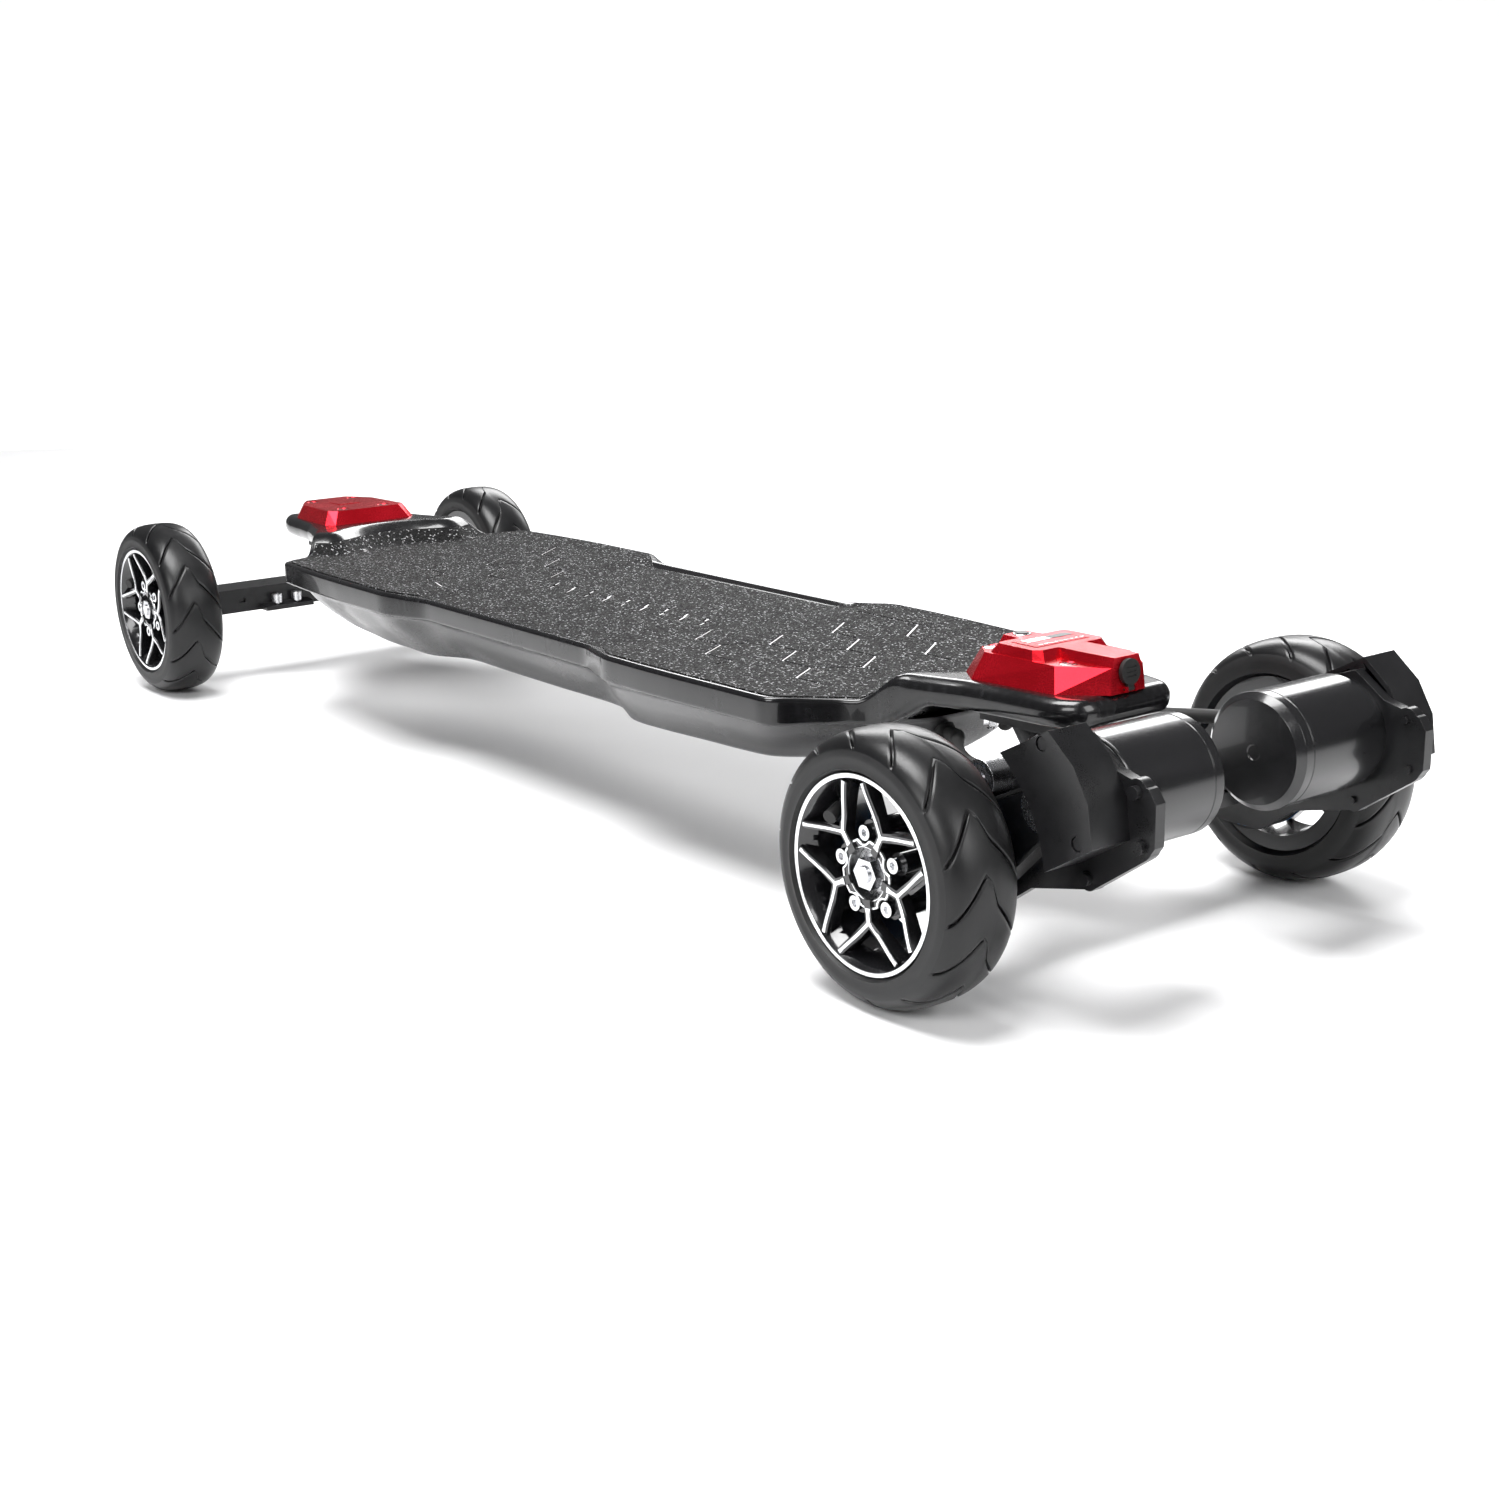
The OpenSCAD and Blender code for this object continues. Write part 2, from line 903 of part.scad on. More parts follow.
// ---------------------------------------------------------------- drive

motor_c = [-77.5, 121];
motor_y0 = 30;
motor_y1 = 101;
plate_y0 = 106;
plate_y1 = 113;
cover_y1 = 140.5;
cover_wall = 3;
clear_r = 86.5;
case_bosses = [[-122, 135], [-126, 107], [-90, 81.5]];
case_holes = [[-82, 157], [-108, 110]];
belt_y0 = 119;
idler_c = [-30.7, 126.6];
idler_r = 11;

module at_motor() {
    translate([motor_c.x, 0, motor_c.y])
        children();
}

case_corners = [[-86.4, 164.6], [-104.5, 149.8], [-115.2, 131.8], [-118.5, 109]];
case_outline = concat(arc([0, axle_z], clear_r, 172, 127, 10), case_corners);

module case_plan(inset) {
    offset(delta = -inset)
        polygon(case_outline);
}

module motor_plate() {
    difference() {
        slab_y(plate_y0, plate_y1)
            difference() {
                union() {
                    polygon([[-52, 146], [-86, 158], [-106, 144], [-118, 141], [-130, 138], [-135, 131],
                        [-135, 108], [-130, 101], [-94.5, 76.4], [-49, 65.6], [-24, 48], [18, 48],
                        [27, 58], [27, 97], [18, 107], [-18, 112]]);
                    for (b = case_bosses)
                        translate(b)
                            circle(r = 7);
                }
                // Window for the hanger's end
                translate([-bar_d / 2 - 0.02, axle_z - bar_h / 2 - 0.02])
                    square([bar_d + 0.04, bar_h + 0.04]);
                translate(motor_c)
                    circle(r = 12);
                for (b = case_bosses)
                    translate(b)
                        circle(r = 2.1);
            }
    }
}

module motor_plates() {
    color(black)
        at_rear()
            left_and_right()
                motor_plate();
}

module belt_cover() {
    difference() {
        slab_y(plate_y1, cover_y1)
            case_plan(0);
        slab_y(plate_y1 - 1, cover_y1 - cover_wall)
            difference() {
                case_plan(3);
                for (h = case_holes)
                    translate(h)
                        circle(r = 5.5);
            }
        // The belt leaves the cover through its concave front
        slab_y(plate_y1 - 1, cover_y1 - cover_wall)
            translate([0, axle_z])
                intersection() {
                    circle(r = clear_r + 8);
                    polygon([[0, 0], [-110, 100], [-110, 22]]);
                }
        for (h = case_holes)
            translate([h.x, 0, h.y]) {
                along_y(2.1, 100, 150);
                along_y(4, cover_y1 - 4, 150);
            }
    }
}

module belt_covers() {
    color(black)
        at_rear()
            left_and_right()
                belt_cover();
}

module drive_screws() {
    for (h = case_bosses)
        translate([h.x, 0, h.y]) {
            along_y(2, plate_y0 - 2, plate_y1);
            along_y(3.6, plate_y1, plate_y1 + 3.5);
        }
    for (h = case_holes)
        translate([h.x, 0, h.y]) {
            along_y(2, plate_y1 + 0.2, cover_y1 - 4);
            along_y(3.6, cover_y1 - 4, cover_y1 - 1);
        }
}

module motor() {
    translate([motor_c.x, 0, motor_c.y])
        rotate([-90, 0, 0])
            difference() {
                rotate_extrude($fn = 96)
                    polygon([[0, motor_y0 + 0.8], [4, motor_y0 + 0.8], [4.6, motor_y0],
                        [motor_r - 4, motor_y0], [motor_r, motor_y0 + 4], [motor_r, motor_y0 + 10],
                        [motor_r - 0.4, motor_y0 + 10.2], [motor_r - 0.4, motor_y0 + 10.8],
                        [motor_r, motor_y0 + 11], [motor_r, motor_y1 - 1],
                        [motor_r - 1, motor_y1], [motor_r - 2, motor_y1], [motor_r - 2, plate_y0],
                        [0, plate_y0]]);
                // Rotor chamber around the shaft
                translate([0, 0, motor_y0 + 8])
                    cylinder(r = 24, h = plate_y0 - motor_y0 - 14);
                translate([0, 0, plate_y0 - 8])
                    cylinder(r = 7.5, h = 10);
            }
}

module motors() {
    color([0.2, 0.2, 0.21])
        at_rear()
            left_and_right()
                motor();
}

function pitch_r(teeth) = teeth * belt_pitch / (2 * PI);
tooth_r = 1.5;
land = 0.57;

module pulley_plan(teeth) {
    difference() {
        circle(r = pitch_r(teeth) - land);
        for (i = [0:teeth - 1])
            rotate([0, 0, i * 360 / teeth])
                translate([pitch_r(teeth) - land - 0.5, 0])
                    circle(r = tooth_r, $fn = 16);
    }
}

// Rotor, shaft and toothed pulley of one motor.
module motor_pulley() {
    translate([motor_c.x, 0, motor_c.y]) {
        slab_y(belt_y0 - 1, belt_y0 + belt_w + 1)
            pulley_plan(motor_teeth);
        along_y(motor_shaft_r, motor_y0 + 10, belt_y0 + belt_w + 2);
        along_y(23, motor_y0 + 12, plate_y0 - 16);
        for (y = [belt_y0 - 2.2, belt_y0 + belt_w + 1])
            along_y(pitch_r(motor_teeth) + 1.5, y, y + 1.2);
    }
}

motor_shaft_r = 4;

module motor_pulley_left() {
    color([0.3, 0.3, 0.32])
        at_rear()
            motor_pulley();
}

module motor_pulley_right() {
    color([0.3, 0.3, 0.32])
        at_rear()
            mirror([0, 1, 0])
                motor_pulley();
}

module idler() {
    translate([idler_c.x, 0, idler_c.y])
        difference() {
            along_y(idler_r, belt_y0 - 0.5, belt_y0 + belt_w + 0.5);
            along_y(4.05, belt_y0 - 2, belt_y0 + belt_w + 2);
            along_y(8.5, belt_y0 + belt_w - 0.3, belt_y0 + belt_w + 2);
        }
}

module idler_left() {
    color(silver)
        at_rear()
            idler();
}

module idler_right() {
    color(silver)
        at_rear()
            mirror([0, 1, 0])
                idler();
}

// Belt path: round the motor pulley, under the idler and round the wheel pulley.
belt_t = 1.7;
belt_gap = 0.3;
big_r = pitch_r(wheel_teeth) - land + belt_gap;
small_r = pitch_r(motor_teeth) - land + belt_gap;
tight_r = idler_r + belt_gap + belt_t;

// Angle of the normal of the line that has c0 at distance r0 and c1 at r1 on its inner side.
function tangent_angle(c0, r0, c1, r1, turn) =
    let (d = c1 - c0) atan2(d.y, d.x) + turn * acos((r0 - r1) / norm(d));

module belt_area(extra) {
    wheel_c = [0, axle_z];
    b = big_r + extra;
    s = small_r + extra;
    t = tight_r - extra;
    low = tangent_angle(motor_c, s, wheel_c, b, -1);
    up0 = tangent_angle(motor_c, s, idler_c, -t, 1);
    up1 = tangent_angle(idler_c, -t, wheel_c, b, 1);
    polygon(concat(
        arc(motor_c, s, up0, low + 360, 20),
        arc(wheel_c, b, low, up1, 40),
        [for (p = arc(idler_c, t, up1 + 180, up0 + 180, 10)) p]));
}

module belt() {
    slab_y(belt_y0, belt_y0 + belt_w)
        difference() {
            belt_area(belt_t);
            belt_area(0);
        }
}

module belts() {
    color(black)
        at_rear()
            left_and_right()
                belt();
}

// Three-phase cables from the belly to the motors, in truck-local coordinates.
cable_route = [[142, 26, 106], [128, 26, 106], [112, 26, 106], [100, 30, 107], [86, 42, 110], [70, 58, 112],
    [50, 74, 113], [28, 86, 114], [6, 92, 116], [-14, 94, 118], [-30, 94, 120], [-43.2, 94, 121]];
cable_sides = 8;

function tangent_at(path, i) =
    let (a = path[max(i - 1, 0)], b = path[min(i + 1, len(path) - 1)]) (b - a) / norm(b - a);
function smooth(path, n) = [for (i = [0:len(path) - 2]) for (k = [0:n - 1])
    let (t = k / n, p0 = path[max(i - 1, 0)], p1 = path[i], p2 = path[i + 1],
         p3 = path[min(i + 2, len(path) - 1)])
        0.5 * (2 * p1 + (p2 - p0) * t + (2 * p0 - 5 * p1 + 4 * p2 - p3) * t * t
            + (3 * p1 - p0 - 3 * p2 + p3) * t * t * t)];

module tube(path, r, sides) {
    n = len(path);
    points = [for (i = [0:n - 1])
        let (t = tangent_at(path, i), u = cross(t, [0, 0, 1]) / norm(cross(t, [0, 0, 1])), v = cross(t, u))
            for (k = [0:sides - 1])
                let (a = k * 360 / sides) path[i] + r * (u * cos(a) + v * sin(a))];
    walls = [for (i = [0:n - 2]) for (k = [0:sides - 1])
        [i * sides + k, i * sides + (k + 1) % sides, (i + 1) * sides + (k + 1) % sides, (i + 1) * sides + k]];
    ends = [[for (k = [sides - 1:-1:0]) k], [for (k = [0:sides - 1]) (n - 1) * sides + k]];
    polyhedron(points = points, faces = concat(walls, ends), convexity = 4);
}

module motor_cables() {
    color(black)
        at_rear()
            left_and_right()
                tube(smooth(cable_route, 3), cable_r, cable_sides);
}

// ---------------------------------------------------------------- wheels

ring_y = 192 - tyre_y;
rim_in = -22;
hub_r = 19;
spoke_w = 5;
spoke_y0 = 14;
spoke_y1 = 20.5;
bolt_seat = 13.6;

// Frame of a wheel: +Z along its axle, outwards; the angle grows from the rear upwards.
module wheel_at(x, side, turn) {
    translate([x, 0, axle_z])
        mirror([0, side < 0 ? 1 : 0, 0])
            translate([0, tyre_y, 0])
                rotate([-90, 0, 0])
                    mirror([1, 0, 0])
                        rotate([0, 0, -turn])
                            children();
}

module tyre() {
    half = tyre_w / 2;
    power = 2.9;
    base = tyre_r * 0.75;
    crown = [for (i = [0:16]) let (a = 180 * i / 16)
        [base + (tyre_r - base) * pow(sin(a), 2 / power),
         -half * sign(cos(a)) * pow(abs(cos(a)), 2 / power)]];
    inner = [for (i = [0:12]) let (a = 180 - 180 * i / 12)
        [base + (tyre_r - 6 - base) * pow(sin(a), 2 / power),
         -(half - 5) * sign(cos(a)) * pow(abs(cos(a)), 2 / power)]];
    rotate_extrude($fn = 96)
        polygon(concat([[rim_r - 3.5, -19.5], [rim_r - 0.2, -20.1]], crown,
            [[rim_r - 0.2, 20.7], [rim_r - 3.5, 20.4], [rim_r - 3.5, 14.5]], inner,
            [[rim_r - 3.5, -14.5]]));
}

module rim() {
    difference() {
        union() {
            rotate_extrude($fn = 96)
                polygon([[rim_r - 10, rim_in], [rim_r - 0.5, rim_in], [rim_r - 0.5, rim_in + 1.6],
                    [rim_r - 3.7, rim_in + 2.4], [rim_r - 3.7, rim_in + 8], [rim_r - 7, rim_in + 11],
                    [rim_r - 7, 11], [rim_r - 3.7, 14], [rim_r - 3.7, ring_y - 3], [rim_r, ring_y - 2],
                    [rim_r, ring_y], [rim_r - 2.6, ring_y], [rim_r - 5, ring_y - 3], [rim_r - 10, 12],
                    [rim_r - 10, 2], [rim_r - 10, rim_in]]);
            translate([0, 0, spoke_y0])
                linear_extrude(spoke_y1 - spoke_y0)
                    spokes();
            translate([0, 0, -20])
                cylinder(r = hub_r, h = spoke_y1 - 1.5 + 20);
            for (i = [0:4])
                rotate([0, 0, -i * 72])
                    translate([wheel_bolt_pcr, 0, -20])
                        cylinder(r = 6.4, h = bolt_seat + 20);
        }
        // Bearing seats and the way between them
        translate([0, 0, bearing_in - tyre_y - 10])
            cylinder(r = 14.01, h = bearing_t + 10);
        translate([0, 0, -30])
            cylinder(r = 11, h = 80);
        translate([0, 0, bearing_out - tyre_y - bearing_t])
            cylinder(r = 14.01, h = 30);
        for (i = [0:4])
            rotate([0, 0, -i * 72])
                translate([wheel_bolt_pcr, 0, 0]) {
                    translate([0, 0, -30])
                        cylinder(r = 2.6, h = 80);
                    translate([0, 0, bolt_seat])
                        cylinder(r = 6, h = 30);
                }
        at_valve() {
            translate([0, 0, -5])
                cylinder(r = 3.1, h = 14);
            translate([0, 0, 9])
                rotate([0, valve_lean, 0])
                    cylinder(r = 3.2, h = 9);
        }
    }
}

// Five forked spokes: each leaves the hub between two bolts and splits in two.
fork_r = 27;
kink_r = 38;
kink_deg = 17.5;
rim_deg = 27.3;

module spokes() {
    for (i = [0:4])
        rotate([0, 0, -36 - i * 72]) {
            bar([hub_r - 4, 0], [fork_r, 0]);
            for (s = [-1, 1]) {
                kink = kink_r * [cos(kink_deg), s * sin(kink_deg)];
                bar([fork_r, 0], kink);
                bar(kink, (rim_r - 5.5) * [cos(rim_deg), s * sin(rim_deg)]);
            }
        }
}

module bar(a, b) {
    d = b - a;
    translate(a)
        rotate([0, 0, atan2(d.y, d.x)])
            translate([-spoke_w / 4, -spoke_w / 2])
                square([norm(d) + spoke_w / 2, spoke_w]);
}

valve_turn = 108;
valve_lean = 67;
free_tail = -23.1;
driven_tail = -53;

// Frame of the valve: +Z runs inwards through the rim, and the stem then leans to the outside.
module at_valve() {
    rotate([0, 0, -valve_turn])
        translate([rim_r - 1, 0, 2])
            rotate([0, -90, 0])
                children();
}

// Inner tube with its valve, which leans out between the spokes.
module inner_tube() {
    rotate_extrude($fn = 96)
        difference() {
            translate([62.5, 0])
                circle(r = 8.3, $fn = 24);
            translate([62.5, 0])
                circle(r = 6.8, $fn = 24);
        }
    at_valve() {
        cylinder(r = 2.9, h = 9.6);
        translate([0, 0, 9])
            rotate([0, valve_lean, 0]) {
                cylinder(r = 2.9, h = 20);
                translate([0, 0, 13])
                    cylinder(r = 4, h = 11);
            }
    }
}

// Bolts through the hub; on a driven wheel they also hold its pulley.
module wheel_bolts(tail) {
    for (i = [0:4])
        rotate([0, 0, -i * 72])
            translate([wheel_bolt_pcr, 0, 0]) {
                translate([0, 0, bolt_seat])
                    difference() {
                        cylinder(r = 4.3, h = 5);
                        translate([0, 0, 2])
                            cylinder(r = 2.3, h = 4, $fn = 6);
                    }
                translate([0, 0, tail])
                    cylinder(r = 2.5, h = bolt_seat - tail + 0.1);
                translate([0, 0, tail])
                    hex_nut(8, 2.5, 3);
            }
}

// Two sealed bearings with the spacer tube between them.
module bearings() {
    for (y = [bearing_in, bearing_out - bearing_t])
        translate([0, 0, y - tyre_y])
            difference() {
                cylinder(r = 14, h = bearing_t);
                translate([0, 0, -1])
                    cylinder(r = axle_r + 0.05, h = bearing_t + 2);
                for (z = [-1, bearing_t - 0.5])
                    translate([0, 0, z])
                        difference() {
                            cylinder(r = 12.3, h = 1.5);
                            translate([0, 0, -1])
                                cylinder(r = 8, h = 4);
                        }
            }
    translate([0, 0, bearing_in + bearing_t - tyre_y])
        difference() {
            cylinder(r = 8, h = bearing_out - bearing_in - 2 * bearing_t);
            translate([0, 0, -1])
                cylinder(r = axle_r + 0.05, h = 30);
        }
}

// Toothed pulley on the inside of a rear wheel.
module wheel_pulley() {
    y0 = belt_y0 - 1 - tyre_y;
    y1 = belt_y0 + belt_w + 1 - tyre_y;
    difference() {
        union() {
            translate([0, 0, y0])
                linear_extrude(y1 - y0)
                    pulley_plan(wheel_teeth);
            translate([0, 0, y1])
                cylinder(r = pitch_r(wheel_teeth) + 1.5, h = 1.5);
            translate([0, 0, y1 - 1])
                cylinder(r = 29, h = -20 - y1 + 1);
        }
        translate([0, 0, y0 - 1])
            cylinder(r = 12, h = 60);
        for (i = [0:4])
            rotate([0, 0, -i * 72])
                translate([wheel_bolt_pcr, 0, y0 - 1])
                    cylinder(r = 2.6, h = 60);
    }
}

module tyre_fl() {
    color(black)
        wheel_at(front_x, 1, front_wheel_turn)
            tyre();
}

module rim_fl() {
    color([0.25, 0.25, 0.26])
        wheel_at(front_x, 1, front_wheel_turn)
            rim();
}

module tube_fl() {
    color([0.1, 0.1, 0.1])
        wheel_at(front_x, 1, front_wheel_turn)
            inner_tube();
}

module wheel_bolts_fl() {
    color(silver)
        wheel_at(front_x, 1, front_wheel_turn)
            wheel_bolts(free_tail);
}

module bearings_fl() {
    color(silver)
        wheel_at(front_x, 1, front_wheel_turn)
            bearings();
}

module tyre_fr() {
    color(black)
        wheel_at(front_x, -1, front_wheel_turn)
            tyre();
}

module rim_fr() {
    color([0.25, 0.25, 0.26])
        wheel_at(front_x, -1, front_wheel_turn)
            rim();
}

module tube_fr() {
    color([0.1, 0.1, 0.1])
        wheel_at(front_x, -1, front_wheel_turn)
            inner_tube();
}

module wheel_bolts_fr() {
    color(silver)
        wheel_at(front_x, -1, front_wheel_turn)
            wheel_bolts(free_tail);
}

module bearings_fr() {
    color(silver)
        wheel_at(front_x, -1, front_wheel_turn)
            bearings();
}

module tyre_rl() {
    color(black)
        wheel_at(rear_x, 1, rear_wheel_turn)
            tyre();
}

module rim_rl() {
    color([0.25, 0.25, 0.26])
        wheel_at(rear_x, 1, rear_wheel_turn)
            rim();
}

module tube_rl() {
    color([0.1, 0.1, 0.1])
        wheel_at(rear_x, 1, rear_wheel_turn)
            inner_tube();
}

module wheel_bolts_rl() {
    color(silver)
        wheel_at(rear_x, 1, rear_wheel_turn)
            wheel_bolts(driven_tail);
}

module bearings_rl() {
    color(silver)
        wheel_at(rear_x, 1, rear_wheel_turn)
            bearings();
}

module tyre_rr() {
    color(black)
        wheel_at(rear_x, -1, rear_wheel_turn)
            tyre();
}

module rim_rr() {
    color([0.25, 0.25, 0.26])
        wheel_at(rear_x, -1, rear_wheel_turn)
            rim();
}

module tube_rr() {
    color([0.1, 0.1, 0.1])
        wheel_at(rear_x, -1, rear_wheel_turn)
            inner_tube();
}

module wheel_bolts_rr() {
    color(silver)
        wheel_at(rear_x, -1, rear_wheel_turn)
            wheel_bolts(driven_tail);
}

module bearings_rr() {
    color(silver)
        wheel_at(rear_x, -1, rear_wheel_turn)
            bearings();
}

module wheel_pulley_left() {
    color([0.3, 0.3, 0.32])
        wheel_at(rear_x, 1, rear_wheel_turn)
            wheel_pulley();
}

module wheel_pulley_right() {
    color([0.3, 0.3, 0.32])
        wheel_at(rear_x, -1, rear_wheel_turn)
            wheel_pulley();
}

// ---------------------------------------------------------------- output

deck();
grip_tape();
belly();
belly_lid();
lid_gasket();
lid_screws();
battery_cells();
battery_cradle();
battery_board();
speed_controller();
rear_cover();
front_cover();
badge_plates();
charge_socket();
truck_bolts();
riser_pads();
baseplates();
kingpins();
front_bushings();
rear_bushings();
pivot_cups();
motor_cables();
charge_cap();
power_button();
front_hanger();
front_axle();
front_fasteners();
rear_hanger();
rear_axle();
rear_fasteners();
motor_plates();
motors();
belt_covers();
belts();
motor_pulley_left();
motor_pulley_right();
idler_left();
idler_right();
wheel_pulley_left();
wheel_pulley_right();
tyre_fl();
rim_fl();
tube_fl();
wheel_bolts_fl();
bearings_fl();
tyre_fr();
rim_fr();
tube_fr();
wheel_bolts_fr();
bearings_fr();
tyre_rl();
rim_rl();
tube_rl();
wheel_bolts_rl();
bearings_rl();
tyre_rr();
rim_rr();
tube_rr();
wheel_bolts_rr();
bearings_rr();
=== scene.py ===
import math

import bmesh
import bpy
import numpy as np
from mathutils import Matrix, Vector


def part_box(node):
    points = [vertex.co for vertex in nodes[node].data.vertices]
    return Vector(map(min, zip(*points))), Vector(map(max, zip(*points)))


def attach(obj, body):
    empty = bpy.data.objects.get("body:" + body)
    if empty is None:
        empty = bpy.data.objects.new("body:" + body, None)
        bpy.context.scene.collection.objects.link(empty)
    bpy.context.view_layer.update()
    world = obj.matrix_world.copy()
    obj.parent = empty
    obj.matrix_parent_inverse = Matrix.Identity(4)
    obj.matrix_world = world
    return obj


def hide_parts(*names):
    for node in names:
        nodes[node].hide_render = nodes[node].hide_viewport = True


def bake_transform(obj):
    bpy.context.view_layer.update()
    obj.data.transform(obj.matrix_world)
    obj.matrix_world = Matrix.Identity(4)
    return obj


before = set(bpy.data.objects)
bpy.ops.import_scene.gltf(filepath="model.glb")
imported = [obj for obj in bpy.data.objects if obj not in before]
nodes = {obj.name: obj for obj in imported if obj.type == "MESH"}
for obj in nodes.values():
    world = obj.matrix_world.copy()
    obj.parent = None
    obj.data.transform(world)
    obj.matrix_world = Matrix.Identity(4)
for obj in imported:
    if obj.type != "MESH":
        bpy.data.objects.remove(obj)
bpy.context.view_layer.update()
scene = bpy.context.scene
MM = 0.001

# ------------------------------------------------------------------ anchors in mm, from the CAD part


def middle(node):
    lo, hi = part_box(node)
    return (lo + hi) / 2 / MM


REAR_X = middle("rear_axle").x
FRONT_X = middle("front_axle").x
AXLE_Z = middle("rear_axle").z
MID_X = (REAR_X + FRONT_X) / 2
TYRE_R = (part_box("tyre_rl")[1].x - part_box("tyre_rl")[0].x) / 2 / MM
TYRE_Y = middle("tyre_rl").y
TYRE_HALF = (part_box("tyre_rl")[1].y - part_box("tyre_rl")[0].y) / 2 / MM
DECK_END = (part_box("deck")[1].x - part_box("deck")[0].x) / 2 / MM
TIP_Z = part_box("deck")[1].z / MM
DECK_T = 18
RIM_UNDER_Z = 116.0
RISE_L = 34
BELLY_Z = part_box("belly")[0].z / MM
BELLY_HALF = (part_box("belly")[1].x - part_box("belly")[0].x) / 2 / MM

# ------------------------------------------------------------------ small maths


def smooth(t):
    t = min(max(t, 0.0), 1.0)
    return t * t * (3 - 2 * t)


def mix(a, b, t):
    return a + (b - a) * t


def spline(points, n, closed=False):
    """Catmull-Rom curve through the points, n steps to each span."""
    p = [np.array(q, float) for q in points]
    out = []
    count = len(p)
    for i in range(count if closed else count - 1):
        a = p[(i - 1) % count] if closed else p[max(i - 1, 0)]
        b, c = p[i], p[(i + 1) % count]
        d = p[(i + 2) % count] if closed else p[min(i + 2, count - 1)]
        for k in range(n):
            t = k / n
            out.append(0.5 * (2 * b + (c - a) * t + (2 * a - 5 * b + 4 * c - d) * t * t
                              + (3 * b - a - 3 * c + d) * t ** 3))
    if not closed:
        out.append(p[-1])
    return out


# ------------------------------------------------------------------ materials


def principled(name):
    mat = bpy.data.materials.new(name)
    mat.use_nodes = True
    tree = mat.node_tree
    return mat, tree, tree.nodes["Principled BSDF"]


def add(tree, kind, **inputs):
    node = tree.nodes.new(kind)
    for key, value in inputs.items():
        node.inputs[key.replace("_", " ")].default_value = value
    return node


def coords(tree, scale=(1, 1, 1), turn=(0, 0, 0)):
    place = tree.nodes.new("ShaderNodeTexCoord")
    mapping = tree.nodes.new("ShaderNodeMapping")
    mapping.inputs["Scale"].default_value = scale
    mapping.inputs["Rotation"].default_value = turn
    tree.links.new(place.outputs["Object"], mapping.inputs["Vector"])
    return mapping.outputs["Vector"]


def noise(tree, vector, scale, detail=3.0, rough=0.55):
    node = add(tree, "ShaderNodeTexNoise", Scale=scale, Detail=detail, Roughness=rough)
    tree.links.new(vector, node.inputs["Vector"])
    return node.outputs["Fac"]


def ramp(tree, fac, stops):
    node = tree.nodes.new("ShaderNodeValToRGB")
    while len(node.color_ramp.elements) < len(stops):
        node.color_ramp.elements.new(0.5)
    for element, (at, colour) in zip(node.color_ramp.elements, stops):
        element.position = at
        element.color = (*colour, 1) if len(colour) == 3 else colour
    tree.links.new(fac, node.inputs["Fac"])
    return node.outputs["Color"]


def spread(tree, fac, low, high, at0=0.3, at1=0.7):
    node = tree.nodes.new("ShaderNodeMapRange")
    for key, value in (("From Min", at0), ("From Max", at1), ("To Min", low), ("To Max", high)):
        node.inputs[key].default_value = value
    tree.links.new(fac, node.inputs["Value"])
    return node.outputs["Result"]


def maths(tree, operation, a, b):
    node = tree.nodes.new("ShaderNodeMath")
    node.operation = operation
    for socket, value in zip(node.inputs, (a, b)):
        if isinstance(value, (int, float)):
            socket.default_value = value
        else:
            tree.links.new(value, socket)
    return node.outputs[0]


def bump(tree, bsdf, height, strength, distance):
    node = add(tree, "ShaderNodeBump", Strength=strength, Distance=distance)
    tree.links.new(height, node.inputs["Height"])
    tree.links.new(node.outputs["Normal"], bsdf.inputs["Normal"])
    return node


def finish_of(name, dark, light, metallic, rough, fine=900, fine_bump=0.06, coat=0.0, stretch=(1, 1, 1),
              mottling=35, wear=0.0):
    """A finish with slow colour mottling, uneven roughness and a fine grain."""
    mat, tree, bsdf = principled(name)
    where = coords(tree, stretch)
    slow = noise(tree, where, mottling, 4)
    quick_grain = noise(tree, where, fine, 4, 0.65)
    tree.links.new(ramp(tree, slow, [(0.3, dark), (0.7, light)]), bsdf.inputs["Base Color"])
    both = maths(tree, "ADD", maths(tree, "MULTIPLY", slow, 0.5), maths(tree, "MULTIPLY", quick_grain, 0.5))
    tree.links.new(spread(tree, both, rough[0], rough[1]), bsdf.inputs["Roughness"])
    bsdf.inputs["Metallic"].default_value = metallic
    bsdf.inputs["Coat Weight"].default_value = coat
    bsdf.inputs["Coat Roughness"].default_value = 0.04
    if wear:
        scratch = noise(tree, coords(tree, (1, 14, 1)), fine * 0.5, 6, 0.7)
        quick_grain = maths(tree, "ADD", quick_grain, maths(tree, "MULTIPLY", scratch, wear))
    bump(tree, bsdf, quick_grain, fine_bump, 0.0004)
    return mat


